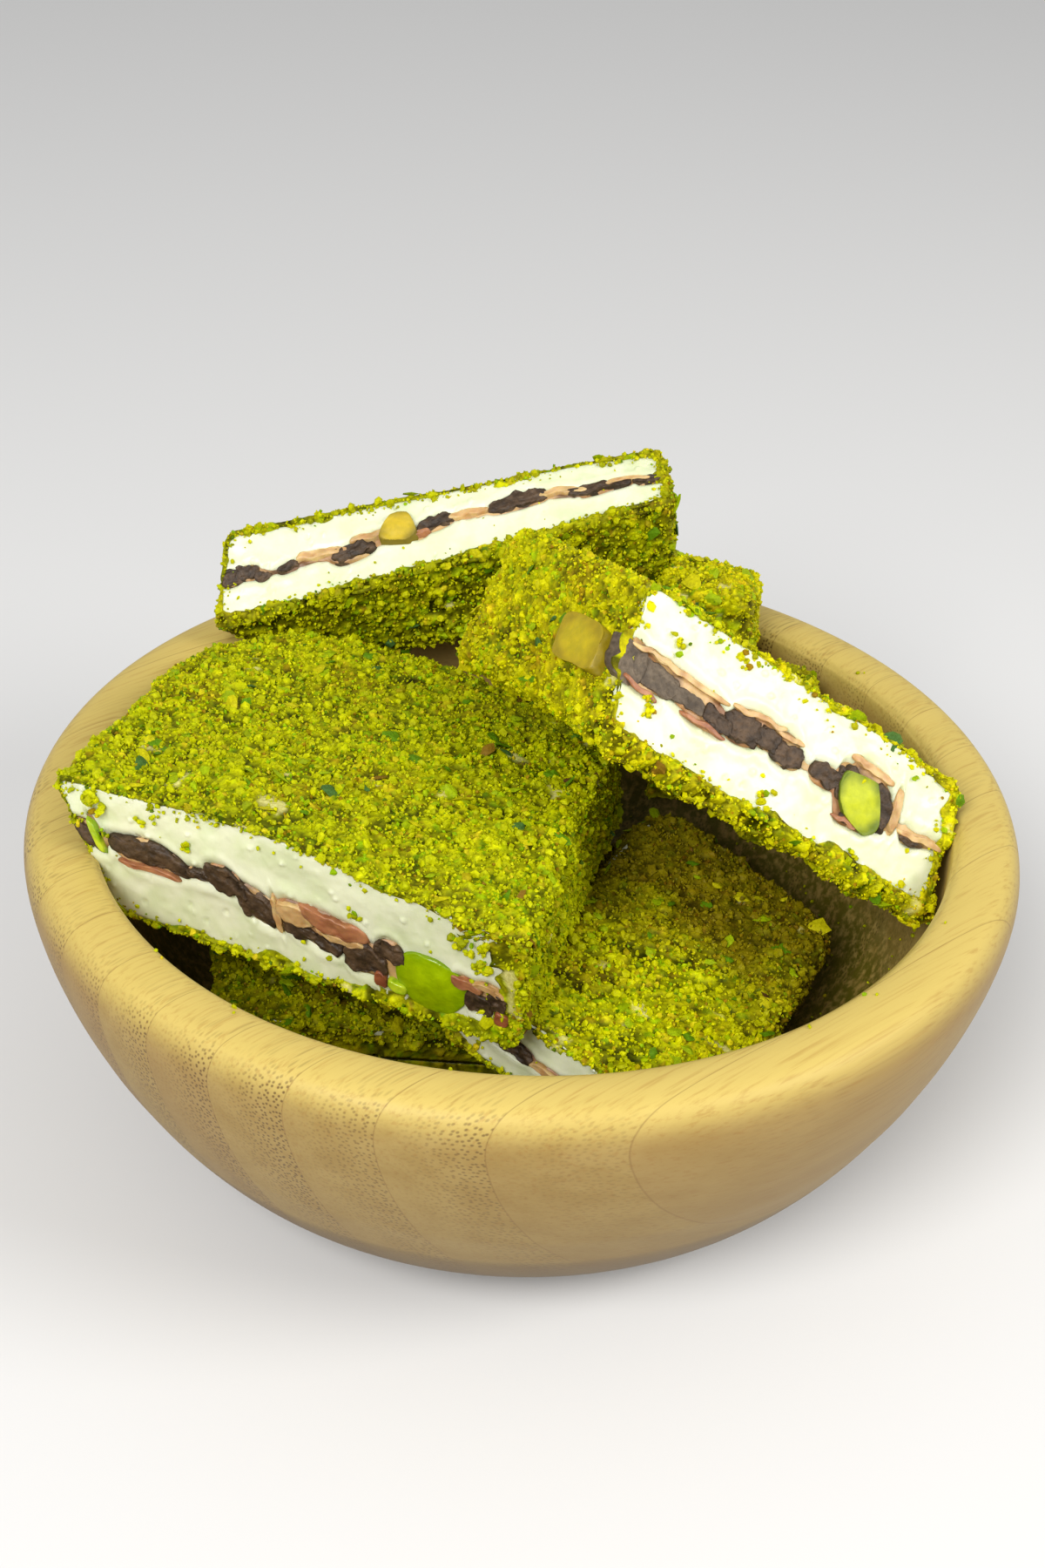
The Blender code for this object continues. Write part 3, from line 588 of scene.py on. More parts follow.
def uneven(slab, local):
    """Each hand-cut corner's shift, spread over the slab in proportion to how near a point is."""
    unit = np.clip(local / np.array(slab["size"]) + 0.5, -0.05, 1.05)
    shift = np.zeros_like(local)
    for corner, move in slab["uneven"].items():
        near = [unit[:, k] if corner[k] == "RFT"[k] else 1 - unit[:, k] for k in range(3)]
        shift += (near[0] * near[1] * near[2])[:, None] * np.array(move)
    return local + shift


def turn_of(slab):
    yaw, pitch, roll = np.radians(slab["turn"])
    return np.array(Euler((roll, pitch, yaw), "XYZ").to_matrix())


def node_box(names):
    """Lowest and highest corners, in millimetres, round these CAD nodes together."""
    boxes = [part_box(name) for name in names]
    low = np.min([np.array(b[0]) for b in boxes], axis=0) / MM
    high = np.max([np.array(b[1]) for b in boxes], axis=0) / MM
    return low, high


def settle(name, slab):
    """Puts the slab where its CAD nodes are: the middle of its shape's box meets the middle of theirs."""
    low, high = node_box([name + part for part in ("_lower", "_filling", "_upper")])
    t = np.linspace(-0.5, 0.5, 41)
    a, b = (g.ravel() for g in np.meshgrid(t, t))
    h = np.full_like(a, 0.5)
    faces = [np.stack(f, -1) for f in ((a, b, h), (a, b, -h), (a, h, b), (a, -h, b), (h, a, b), (-h, a, b))]
    shape = uneven(slab, rounded(slab, np.concatenate(faces) * np.array(slab["size"]))) @ turn_of(slab).T
    slab["middle"] = (low + high) / 2 - (shape.min(0) + shape.max(0)) / 2
    slab["seed"] = 100 * (ord(name[-1]) - ord("a") + 1)


def to_bowl(slab, box):
    """Box points to their place in the bowl."""
    return uneven(slab, rounded(slab, box)) @ turn_of(slab).T + slab["middle"]


# ---- coat of ground pistachio

def right_cover(slab, x):
    """How much further the coat folds over the cut face towards its right end."""
    half = slab["size"][0] / 2
    return slab["cover_right"] * np.clip((x - 0.62 * half) / (0.38 * half), 0, 1) ** 1.5


def coat_rings(slab):
    """Rings round the slab's length and thickness: from the middle of the far side out to its edge,
    along the slab to the cut side, over the cut edge by a ragged width, and back inside. Returns the
    rings of box points, and for each ring how far its grains stand out."""
    length, depth, thick = slab["size"]
    step = slab["step"]
    nx, nz = round(length / step), round(thick / step)
    sx = np.linspace(-0.5, 0.5, nx, endpoint=False)
    sz = np.linspace(-0.5, 0.5, nz, endpoint=False)
    x = np.concatenate([sx, 0.5 + 0 * sz, -sx, -0.5 + 0 * sz]) * length
    z = np.concatenate([-0.5 + 0 * sx, sz, 0.5 + 0 * sx, -sz]) * thick
    around = np.stack([x, 0 * x, z], -1)
    seed = slab["seed"]
    mouth = -depth / 2 + 0.2 * noise(around, 1.3, seed + 1)
    cover = slab["cover"] * (1 + 0.9 * noise(around, 1.4, seed + 3) + 0.9 * noise(around, 2.8, seed + 5))
    cover += 0.12 * noise(around, 0.6, seed + 7)
    cover += 2.6 * np.clip(noise(around, 5.5, seed + 4) - 0.25, 0, 1)
    cover += right_cover(slab, x) * (0.85 + 0.35 * noise(around, 2.2, seed + 6))
    cover = np.where(z < 0, cover + 0.25, cover)
    for along, up, radius in slab["clear"]:
        cover = cover * (1 - np.exp(-(((x - along) ** 2 + (z - up) ** 2) / radius**2) ** 2))
    cover = np.clip(cover, 0.1, 0.4 * thick) if not slab["cover_all"] else slab["cover_all"] + 0 * cover

    rings, stand = [], []

    def ring(out, y, inset=0.0, scale=1.0):
        kx = (1 - 2 * inset / length) * scale
        kz = (1 - 2 * inset / thick) * scale
        rings.append(np.stack([x * kx, y + 0 * x, z * kz], -1))
        stand.append(out)

    for scale in np.linspace(0.04, 1.0, max(6, round(thick / 2 / step)), endpoint=False):
        ring(1.0, depth / 2, scale=scale)
    edge = np.array([1.6, 1.2, 0.8, 0.4, 0.32, 0.24, 0.16, 0.08, 0.0])
    for t in np.concatenate([np.linspace(0, 1 - 2.0 / depth, round(depth / step)), 1 - edge / depth]):
        ring(1.0, blend(depth / 2, mouth, t))
    for part in np.linspace(0, 1, 14)[1:]:
        bulge = 0.5 if slab["cover_all"] else 0.35 * (1 - part**3)
        ring(1.0 - 0.9 * part**5, -depth / 2 - 0.05 - bulge, cover * part**1.4)
    for y, inset, scale in ((-depth / 2 + 0.7, 1.1, 1), (-depth / 4, 1.2, 1), (depth / 2 - 1.3, 1.2, 1),
                            (depth / 2 - 1.3, 1.2, 0.05)):
        ring(0.0, y, inset, scale)
    return np.array(rings), np.array(stand)


def bare_spots(slab, box):
    """Where the coat is thin and the white shows through: the peaks of a noise."""
    peaks = noise(box, 2.4, slab["seed"] + 9) + 0.35 * noise(box, 9.0, slab["seed"] + 8)
    return np.clip((peaks - 0.80) * 8, 0, 1)


def toned(slab, points, tint):
    """The slab's own tone laid over the grains' colours, its brightness partly painted light and shade,
    and towards its far side a dark brown, partly the crust's own colour and partly painted shadow.
    """
    local = (points - slab["middle"]) @ turn_of(slab)
    patches = 0.5 * noise(points, 4.5, slab["seed"] + 13)
    # Towards the far side a darker brown: partly the crust's own colour, partly painted shadow of the slab
    # lying over it.
    brown_and_shadow = slab["far_brown_and_shadow"] * np.clip(4 * local[:, 1] / slab["size"][1] + 0.4 + patches, 0, 1)
    # The tone's brightness is partly painted light and shade.
    return blend(tint * np.array(slab["tone"]), DARK_BROWN_AND_SHADOW, brown_and_shadow[:, None])


def near_clear(slab, spots):
    """1 at the middle of the balls on the cut face that stay free of grains, falling off outside them."""
    near = np.zeros(len(spots))
    for along, up, radius in slab["clear"]:
        middle = to_bowl(slab, np.array([[along, -slab["size"][1] / 2, up]]))
        distance = np.linalg.norm(spots - middle, axis=1)
        near = np.maximum(near, np.exp(-((distance / radius) ** 4)))
    return near


def make_coat(name, slab):
    """The coat as one closed shell. Grains of three sizes stand on it as domes of different height,
    and their own numbers pick their colours. Returns its outside for the loose crumbs."""
    rings, stand = coat_rings(slab)
    rows, count = rings.shape[:2]
    box = rings.reshape(-1, 3)
    box = np.concatenate([box[:count].mean(0)[None], box, box[-count:].mean(0)[None]])
    reach = np.concatenate([[1.0], np.repeat(stand, count), [0.0]])
    triangles = ring_triangles(rows, count)
    points = to_bowl(slab, box)
    triangles = outward(points, triangles)
    normals = point_normals(points, triangles)
    seed = slab["seed"]
    under = np.clip(-4 * box[:, 2] / slab["size"][2] - 1, 0, 1) ** 2
    under *= np.clip(1.0 - 2.5 * (box[:, 1] / slab["size"][1] + 0.5), 0, 1)
    lumps = 0.8 + 0.45 * noise(points, 3.6, seed + 16) + 0.25 * noise(points, 1.8, seed + 18)
    swollen = slab["hang"] * under * lumps * np.minimum(1, reach * 1.2)
    points = points + normals * swollen[:, None]
    normals = point_normals(points, triangles)
    wobble = points + 0.25 * np.stack([noise(points, 0.8, seed + 20 + k) for k in range(3)], -1)
    coarse, coarse_number = chips(wobble, 1.9, seed + 10, 0.62, 1.2)
    mid, mid_number = chips(wobble, 1.05, seed + 11, 0.66, 1.5)
    fine, fine_number = chips(points, 0.62, seed + 12, 0.7, 1.5)
    coarse *= np.clip(1.8 * coarse_number - 0.9, 0, 1)
    mid *= 0.25 + 0.75 * mid_number
    fine *= 0.3 + 0.7 * fine_number
    clump = noise(points, 4.5, seed + 13)
    bare = bare_spots(slab, box)
    mound = noise(points, 2.3, seed + 15)
    relief = 0.55 * coarse + 0.42 * mid + 0.20 * fine + 0.25 * clump + 0.22 * mound - 0.34
    pit = np.clip((noise(points, 1.5, seed + 19) + 0.3 * noise(points, 6.0, seed + 21) - 0.52) * 5, 0, 1)
    relief = np.maximum((relief - 0.25 * pit) * (1 - 0.8 * bare), 0.06 - COAT_THICKNESS)
    relief = relief - 1.5 * near_clear(slab, points)
    points = points + normals * (relief * reach)[:, None]
    # Colour: the grain on top, with painted shade where the relief lies low and in the pits, browner in
    # patches.
    use_coarse = (coarse > 0.3)[:, None]
    large = blend(grain_colour(coarse_number * 7.3 % 1), 0.9 * GRAIN_COLOURS[0][1], 0.35)
    tint = np.where(use_coarse, large, grain_colour(mid_number))
    tint = blend(tint, grain_colour(fine_number), 0.25)
    tint = tint * (1 + 0.14 * noise(points, 7.0, seed + 17)[:, None] * np.array([1.0, 0.5, 0.0]))
    brown = np.clip(0.7 * (rough(points, 8.0, seed + 14) - 0.15), 0, 0.55)
    tint = toned(slab, points, blend(tint, BROWN, brown[:, None]))
    height = np.clip((0.52 * coarse + 0.42 * mid + 0.20 * fine + 0.16 * mound + 0.1 * clump) / 0.62, 0, 1)
    # Painted shade: the tint is darkened where the relief lies low between grains and in the pits.
    tint = tint * ((0.18 + 0.92 * height) * (1 - 0.72 * pit))[:, None]
    tint = blend(tint, linear(222, 216, 150), 0.8 * bare[:, None])
    make_piece(name + "_coat", points, triangles, "coat", tint=tint)
    outside = (reach[triangles] > 0.9).all(axis=1)
    return points, triangles[outside]


# ---- white layers and filling

def plan_path(slab, inset, fine, coarse):
    """Points round the slab in plan, closely spaced on the cut side, drawn in by inset elsewhere."""
    length, depth, _ = slab["size"]
    half_l = length / 2 - inset
    far = depth / 2 - inset
    near = -depth / 2
    front = np.linspace(-half_l, half_l, round(2 * half_l / fine), endpoint=False)
    side = np.linspace(near, far, round((far - near) / coarse), endpoint=False)
    back = np.linspace(half_l, -half_l, round(2 * half_l / coarse), endpoint=False)
    x = np.concatenate([front, half_l + 0 * side, back, -half_l + 0 * side])
    y = np.concatenate([near + 0 * front, side, far + 0 * back, side[::-1] + (far - near) / len(side)])
    return x, y


def layer(slab, inset, bottom, top, rows, caps, relief):
    """A closed layer: rings drawn towards the middle underneath, rows up the side between the heights
    bottom and top, which are functions of the plan, and rings towards the middle on top. Its cut face
    stands out by the relief, a function of places in the bowl and in the box."""
    x, y = plan_path(slab, inset, slab["face_step"], 2.2)
    rings = [np.stack([x * scale, y * scale, bottom(x * scale, y * scale)], -1) for scale in caps]
    low, high = bottom(x, y), top(x, y)
    rings += [np.stack([x, y, blend(low, high, t)], -1) for t in np.linspace(0, 1, rows)]
    rings += [np.stack([x * scale, y * scale, top(x * scale, y * scale)], -1) for scale in caps[::-1]]
    zero = np.zeros(1)
    poles = [np.array([[0.0, 0.0, end(zero, zero)[0]]]) for end in (bottom, top)]
    box = np.concatenate([poles[0], *rings, poles[1]])
    points = to_bowl(slab, box)
    triangles = outward(points, ring_triangles(len(rings), len(x)))
    on_face = box[:, 1] < -slab["size"][1] / 2 + 0.01
    face_direction = turn_of(slab) @ np.array([0.0, -1.0, 0.0])
    return points + face_direction * (relief(points, box) * on_face)[:, None], triangles


def make_white(name, slab, which):
    """One white layer. Its cut face swells and sags gently, carries low blisters and pits where air
    was caught, and draws back a little where it meets the filling."""
    depth, thick = slab["size"][1:]
    reach = thick / 2 - COAT_THICKNESS
    seed = slab["seed"] + (40 if which == "upper" else 50)

    def outer(px, py):
        sunk = reach - 0.9 * np.clip((py + depth / 2 - 1.0) / 4.0, 0, 1)
        return sunk if which == "upper" else -sunk

    def inner(px, py):
        low, high = band(slab, px, py)
        return high - 0.03 if which == "upper" else low + 0.03

    def relief(points, box):
        blister, number, _ = grains(points, 1.7, seed + 1)
        pit, pit_number, _ = grains(points, 2.6, seed + 2)
        total = 0.30 * noise(points, 6.0, seed) + 0.14 * noise(points, 2.2, seed + 3)
        total += 0.05 * noise(points, 0.8, seed + 4)
        total += 0.24 * dome(blister, 0.24) * (number > 0.66)
        total -= 0.30 * dome(pit, 0.15) * (pit_number > 0.6)
        low, high = band(slab, box[:, 0], box[:, 1])
        gap = (box[:, 2] - high) if which == "upper" else (low - box[:, 2])
        total -= 0.45 * np.exp(-np.clip(gap, 0, None) / 0.35)
        return total + 0.16 * np.exp(-((gap - 1.0) / 0.6) ** 2)

    bottom, top = (inner, outer) if which == "upper" else (outer, inner)
    rows = round((0.6 if which == "upper" else 0.4) * thick / slab["face_step"])
    node = name + "_" + which
    body = layer(slab, COAT_THICKNESS, bottom, top, rows, (0.25, 0.6, 0.93), relief)
    make_piece(node + "_white", *body, "white", [node])


def make_film(name, slab):
    """The thin nougat film between the white layers: tan, pinker and darker by patches."""
    seed = slab["seed"] + 60

    def low(px, py):
        return band(slab, px, py)[0] - 0.06

    def high(px, py):
        return band(slab, px, py)[1] + 0.06

    def relief(points, box):
        return 0.15 * noise(points, 1.6, seed) + 0.12 * noise(points, 0.6, seed + 2) - 0.12

    points, triangles = layer(slab, COAT_THICKNESS + 0.3, low, high, 9, (0.3, 0.9), relief)
    pinker = np.clip(0.4 + 0.9 * noise(points, 3.2, seed + 3), 0, 1)[:, None]
    darker = np.clip(1.6 * noise(points, 1.7, seed + 4) - 0.1, 0, 1)[:, None]
    tint = blend(linear(204, 168, 116), linear(168, 116, 76), pinker)
    tint = blend(tint, linear(88, 58, 36), 0.8 * darker)
    node = name + "_filling"
    make_piece(node + "_nougat", points, triangles, "smear", [node], tint)


def blob(rows, count, power):
    """A ball of reach one, squarer the higher the power, and its triangles."""
    lift = np.linspace(-np.pi / 2, np.pi / 2, rows + 2)[1:-1]
    angle = np.arange(count) * 2 * np.pi / count
    ball = np.stack([np.cos(lift)[:, None] * np.cos(angle), np.cos(lift)[:, None] * np.sin(angle),
                     np.sin(lift)[:, None] + 0 * angle], -1).reshape(-1, 3)
    ball = np.concatenate([[[0, 0, -1.0]], ball, [[0, 0, 1.0]]])
    reach = np.sum(np.abs(ball) ** power, axis=1) ** (1 / power)
    return ball / reach[:, None], ring_triangles(rows, count)


# Kind of chunk: its material, its colours, how far it stands out of the cut and how craggy it is.
CHUNK_KINDS = {
    "dark": ("chocolate", linear(50, 37, 24), linear(86, 66, 46), 0.35, 1.0),
    "grey": ("chocolate", linear(74, 62, 48), linear(106, 92, 74), 0.12, 0.5),
    "tan": ("smear", linear(214, 182, 128), linear(184, 138, 88), 0.45, 0.45),
    "pink": ("smear", linear(178, 122, 84), linear(146, 88, 58), 0.55, 0.5),
    "red": ("smear", linear(120, 62, 40), linear(150, 86, 50), 0.60, 0.3),
    "green": ("kernel", linear(140, 176, 14), linear(188, 206, 40), 0.75, 0.25),
}
CHUNK_PIECES = {"chocolate": "_chocolate_lumps", "smear": "_nougat_lumps", "kernel": "_pistachio_bits"}


def make_chunks(name, slab):
    """What the knife cut through in the filling: squarish lumps in the film's openings, craggy by
    noise of two sizes and grains, and cut off a little in front of the cut face."""
    depth = slab["size"][1]
    parts = {key: [] for key in CHUNK_PIECES}
    for k, (kind, along, rise, half_length, half_height) in enumerate(slab["chunks"]):
        look, main, other, proud, crag = CHUNK_KINDS[kind]
        ball, triangles = blob(30, 44, 3.2)
        local = ball * np.array([half_length, 2.2, half_height])
        own = local + 17.0 * (k + 1) + slab["seed"]
        near, _, _ = grains(own, 1.0, 3)
        push = 0.34 * noise(own, 1.5, 4) + 0.22 * noise(own, 0.65, 5) + 0.30 * dome(near, 0.7) - 0.24
        size = min(1.0, half_height / 0.8)
        local = local + ball * (push * crag * size)[:, None]
        local[:, 2] += 0.35 * noise(np.stack([x0 + local[:, 0] for x0 in (along, 0, 0)], -1), 2.4, 10)
        front = -1.0 - proud - crag * (0.18 * noise(own, 0.9, 6) + 0.14 * noise(own, 0.45, 7))
        local[:, 1] = np.maximum(local[:, 1], front)
        x = along + local[:, 0]
        where = np.stack([x, 0 * x - 0.25 * depth, 0 * x], -1)
        z = line_level(slab, x) + 0.35 * noise(where, 4.5, 35) + rise + local[:, 2]
        points = to_bowl(slab, np.stack([x, local[:, 1] + 1.0 - depth / 2, z], -1))
        tone = np.clip(0.5 + 0.7 * noise(own, 1.1, 8) + 0.4 * noise(own, 0.4, 9), 0, 1)[:, None]
        parts[look].append((points, outward(points, triangles), blend(main, other, tone)))
    for look, ending in CHUNK_PIECES.items():
        if parts[look]:
            points, triangles, tint = join_meshes(parts[look])
            make_piece(name + ending, points, triangles, look, tint=tint)


# ---- kernels

# Each kernel: its slab, look, colours inside and towards the rim, half sizes along the
# slab's length, depth and thickness, how square it is, the axis it is cut across and where, and the
# flat sides of the cut's outline: direction in degrees and reach.
KERNELS = {
    "slab_a_pistachio": ("slab_a", "kernel", linear(152, 178, 0), linear(128, 160, 0),
                         (4.6, 4.25, 3.9), 2.3, 1, -1.7, ()),
    "slab_b_pistachio": ("slab_b", "dull kernel", linear(196, 170, 32), linear(140, 120, 14),
                         (2.6, 3.0, 2.3), 2.4, 1, -1.3, ((20, 0.75), (150, 0.7), (255, 0.72))),
    "slab_c_pistachio": ("slab_c", "dull kernel", linear(186, 194, 6), linear(104, 122, 4),
                         (3.5, 4.0, 3.2), 2.6, 1, -1.2,
                         ((96, 0.84), (23, 0.78), (248, 0.62), (209, 0.74))),
    "slab_c_end_nut": ("slab_c", "nut", linear(186, 166, 0), linear(160, 138, 0),
                       (3.5, 3.8, 2.3), 7.0, 0, -1.4, ((45, 1.2),)),
}
KERNEL_PROUD = 0.55


def make_kernel(name, owner, look, core, rim, half, power, axis, limit, sides):
    """A kernel: a squarish ball, uneven by noise, with some sides flat, cut across one axis to a slightly
    domed face. Its colour changes towards the rim of the cut."""
    slab = SLABS[owner]
    low, high = node_box([name])
    half = np.array(half)
    ball, triangles = blob(48, 72, power)
    lumps = 1 + 0.07 * noise(ball * 3 + limit, 1.6, 5) + 0.03 * noise(ball * 3, 0.7, 6)
    local = ball * half * lumps[:, None]
    flat = [k for k in range(3) if k != axis]
    for degrees, reach in sides:
        way = np.array([np.cos(np.radians(degrees)), np.sin(np.radians(degrees))])
        over = np.clip((local[:, flat] / half[flat]) @ way - reach, 0, None)
        local[:, flat] -= 0.7 * over[:, None] * way * half[flat]
    out = np.clip(np.sum((local[:, flat] / half[flat]) ** 2, axis=1), 0, 1)
    face = limit - (0.2 if sides else 0.8) * (1 - out)
    face = face - 0.12 * noise(local, 1.6, 7) - 0.04 * noise(local, 0.6, 8)
    cut = local[:, axis] < face
    local[:, axis] = np.maximum(local[:, axis], face)
    turned = local @ turn_of(slab).T
    middle = (low + high) / 2 - (turned.min(0) + turned.max(0)) / 2
    base = (middle - slab["middle"]) @ turn_of(slab)
    local[:, axis] -= KERNEL_PROUD
    points = (uneven(slab, base + local) - uneven(slab, base[None])) @ turn_of(slab).T + middle
    edge = np.clip(out * 1.3 - 0.35 + 0.35 * noise(points, 1.2, 9), 0, 1)[:, None]
    tint = blend(core, rim, edge)
    tint = np.where(cut[:, None], tint, 0.8 * rim + 0 * tint)
    make_piece(name + "_cut", points, outward(points, triangles), look, [name], tint)


# ---- loose crumbs

def crumb_shapes():
    """The corners and faces of an eight-sided and a twenty-sided grain."""
    small = np.array([[1, 0, 0], [-1, 0, 0], [0, 1, 0], [0, -1, 0], [0, 0, 1], [0, 0, -1]], float)
    small_faces = np.array([[0, 2, 4], [2, 1, 4], [1, 3, 4], [3, 0, 4],
                            [2, 0, 5], [1, 2, 5], [3, 1, 5], [0, 3, 5]])
    g = (1 + 5**0.5) / 2
    large = np.array([[-1, g, 0], [1, g, 0], [-1, -g, 0], [1, -g, 0], [0, -1, g], [0, 1, g],
                      [0, -1, -g], [0, 1, -g], [g, 0, -1], [g, 0, 1], [-g, 0, -1], [-g, 0, 1]])
    large_faces = np.array([
        [0, 11, 5], [0, 5, 1], [0, 1, 7], [0, 7, 10], [0, 10, 11], [1, 5, 9], [5, 11, 4], [11, 10, 2],
        [10, 7, 6], [7, 1, 8], [3, 9, 4], [3, 4, 2], [3, 2, 6], [3, 6, 8], [3, 8, 9], [4, 9, 5],
        [2, 4, 11], [6, 2, 10], [8, 6, 7], [9, 8, 1]])
    return (small, small_faces), (large / np.hypot(1, g), large_faces)


def random_turns(rng, count):
    """Even random rotations, from unit quaternions."""
    q = rng.normal(size=(count, 4))
    w, x, y, z = (q / np.linalg.norm(q, axis=1)[:, None]).T
    return np.stack([
        np.stack([1 - 2 * (y * y + z * z), 2 * (x * y - z * w), 2 * (x * z + y * w)], -1),
        np.stack([2 * (x * y + z * w), 1 - 2 * (x * x + z * z), 2 * (y * z - x * w)], -1),
        np.stack([2 * (x * z - y * w), 2 * (y * z + x * w), 1 - 2 * (x * x + y * y)], -1)], 1)


def scatter(shape, places, sizes, colours, rng):
    """Copies of a grain at the places: each stretched, dented and turned its own way."""
    corners, faces = shape
    count = len(places)
    form = corners[None] * rng.uniform(0.75, 1.25, (count, len(corners), 1))
    form = form * rng.uniform(0.55, 1.1, (count, 1, 3)) * sizes[:, None, None] / 2
    form = np.einsum("nij,nkj->nki", random_turns(rng, count), form)
    points = (form + places[:, None]).reshape(-1, 3)
    triangles = (faces[None] + (np.arange(count) * len(corners))[:, None, None]).reshape(-1, 3)
    return points, triangles, np.repeat(colours, len(corners), axis=0)


def spots_on(points, triangles, count, rng):
    """Random places on a surface, by area, fewer where it looks down, and its direction there."""
    a, b, c = points[triangles.T]
    normal = triangle_normals(points, triangles)
    area = np.linalg.norm(normal, axis=1)
    share = area * np.where(normal[:, 2] < -0.5 * area, 0.3, 1.0)
    pick = rng.choice(len(triangles), count, p=share / share.sum())
    u, v = rng.random((2, count))
    flip = u + v > 1
    u, v = np.where(flip, 1 - u, u), np.where(flip, 1 - v, v)
    spot = a[pick] + (b - a)[pick] * u[:, None] + (c - a)[pick] * v[:, None]
    return spot, normal[pick] / area[pick][:, None]


def surface_area(points, triangles):
    return np.linalg.norm(triangle_normals(points, triangles), axis=1).sum() / 2


def join_meshes(parts):
    """Several (points, triangles, colours) as one."""
    first = np.cumsum([0] + [len(p[0]) for p in parts[:-1]])
    points = np.concatenate([p[0] for p in parts])
    triangles = np.concatenate([p[1] + f for p, f in zip(parts, first)])
    return points, triangles, np.concatenate([p[2] for p in parts])


def edge_spots(slab, count, rng):
    """Places on the cut face close to its edges: a place round the edge, and a way in from it that
    falls off quickly, so that few grains lie far in."""
    length, depth, thick = slab["size"]
    long_side = rng.random(count) < length / (length + thick)
    side = rng.choice([-1.0, 1.0], count)
    t = rng.uniform(-0.5, 0.5, count)
    way_in = 0.25 + rng.exponential(0.45, count)
    way_in = np.where(rng.random(count) < 0.035, rng.uniform(0, thick / 2, count), way_in)
    way_in = way_in + right_cover(slab, np.where(long_side, t, 0.5 * side) * length)
    x = np.where(long_side, t * (length - 1), side * (length / 2 - way_in))
    z = np.where(long_side, side * (thick / 2 - way_in), t * (thick - 1))
    return to_bowl(slab, np.stack([x, -depth / 2 - 0.12 + 0 * x, z], -1))


def grain_tints(rng, count):
    return grain_colour(rng.random(count)) * rng.uniform(0.62, 1.08, (count, 1))


def make_crumbs(name, slab, outside):
    """Loose ground pistachio on one slab: fine grains all over the coat, coarser ones among them, and
    grains that spilled onto the cut face along its edges."""
    rng = np.random.default_rng(slab["seed"])
    points, triangles = outside
    area = surface_area(points, triangles)
    small, large = crumb_shapes()
    parts = []

    def strew(shape, spots, sizes, colours):
        """Grains at those of the spots that don't stay free."""
        keep = near_clear(slab, spots) < 0.25
        parts.append(scatter(shape, spots[keep], sizes[keep], colours[keep], rng))

    count = int(area * CRUMBS_PER_AREA)
    spot, normal = spots_on(points, triangles, count, rng)
    size = rng.uniform(0.30, 0.74, count)
    strew(small, spot + normal * (0.15 * size)[:, None], size, grain_tints(rng, count))
    count = int(area * COARSE_PER_AREA)
    spot, normal = spots_on(points, triangles, count, rng)
    size = rng.uniform(0.65, 1.5, count)
    colours = blend(grain_tints(rng, count), 0.85 * GRAIN_COLOURS[0][1], 0.4)
    strew(large, spot + normal * (0.06 * size)[:, None], size, colours)
    count = int(2 * (slab["size"][0] + slab["size"][2]) * CRUMBS_PER_EDGE)
    size = 0.28 + rng.exponential(0.2, count)
    strew(large, edge_spots(slab, count, rng), size, grain_tints(rng, count))
    for along, up, spread, count in slab["spills"]:
        x, z, out = rng.normal(size=(3, count)) * np.array([[0.42], [0.42], [0.16]]) * spread
        spot = np.stack([along + x, -slab["size"][1] / 2 - 0.2 - np.abs(out), up + z], -1)
        size = rng.uniform(0.5, 0.5 + 0.6 * spread, count)
        strew(large, to_bowl(slab, spot), size, grain_tints(rng, count))
    points, triangles, tint = join_meshes(parts)
    tint = toned(slab, points, tint)
    make_piece(name + "_crumbs", points, triangles, "crumb", tint=tint)


def flake(places, normals, sizes, colours, rng):
    """Broad thin flakes lying on the coat: a rim of nine points at random reach, and a top and an
    underside that bulge a little."""
    count, rim = len(places), 9
    angle = np.arange(rim) * 2 * np.pi / rim
    reach = rng.uniform(0.6, 1.1, (count, rim)) * sizes[:, None] / 2
    narrow = rng.uniform(0.5, 0.9, (count, 1))
    u = np.cross(normals, rng.normal(size=(count, 3)))
    u /= np.linalg.norm(u, axis=1)[:, None]
    v = np.cross(normals, u)
    edge = places[:, None] + (reach * np.cos(angle))[..., None] * u[:, None]
    edge = edge + (reach * np.sin(angle) * narrow)[..., None] * v[:, None]
    edge = edge + (rng.uniform(-0.1, 0.15, (count, rim)))[..., None] * normals[:, None]
    top = places[:, None] + 0.28 * normals[:, None]
    under = places[:, None] - 0.22 * normals[:, None]
    points = np.concatenate([edge, top, under], 1).reshape(-1, 3)
    k = np.arange(rim)
    n = (k + 1) % rim
    faces = np.concatenate([np.stack([k, n, 0 * k + rim], -1), np.stack([n, k, 0 * k + rim + 1], -1)])
    triangles = (faces[None] + (np.arange(count) * (rim + 2))[:, None, None]).reshape(-1, 3)
    return points, triangles, np.repeat(colours, rim + 2, axis=0)


def make_flakes(surfaces):
    """Broad flakes of kernel and skin over all the coats: green, deep green, brown and purple."""
    rng = np.random.default_rng(7)
    colours = np.array([linear(150, 172, 8), linear(92, 132, 12), linear(190, 184, 14), linear(70, 104, 52),
                        linear(128, 98, 26), linear(92, 62, 34)])
    parts = []
    for name, (points, triangles) in surfaces.items():
        count = int(surface_area(points, triangles) * FLAKES_PER_AREA)
        spot, normal = spots_on(points, triangles, count, rng)
        size = rng.uniform(1.3, 3.4, count)
        pick = rng.choice(len(colours), count, p=(0.42, 0.24, 0.22, 0.06, 0.04, 0.02))
        parts.append(flake(spot + 0.15 * normal, normal, size, colours[pick], rng))
    points, triangles, tint = join_meshes(parts)
    make_piece("pistachio_flakes", points, triangles, "crumb", tint=tint)


# ---- the bowl

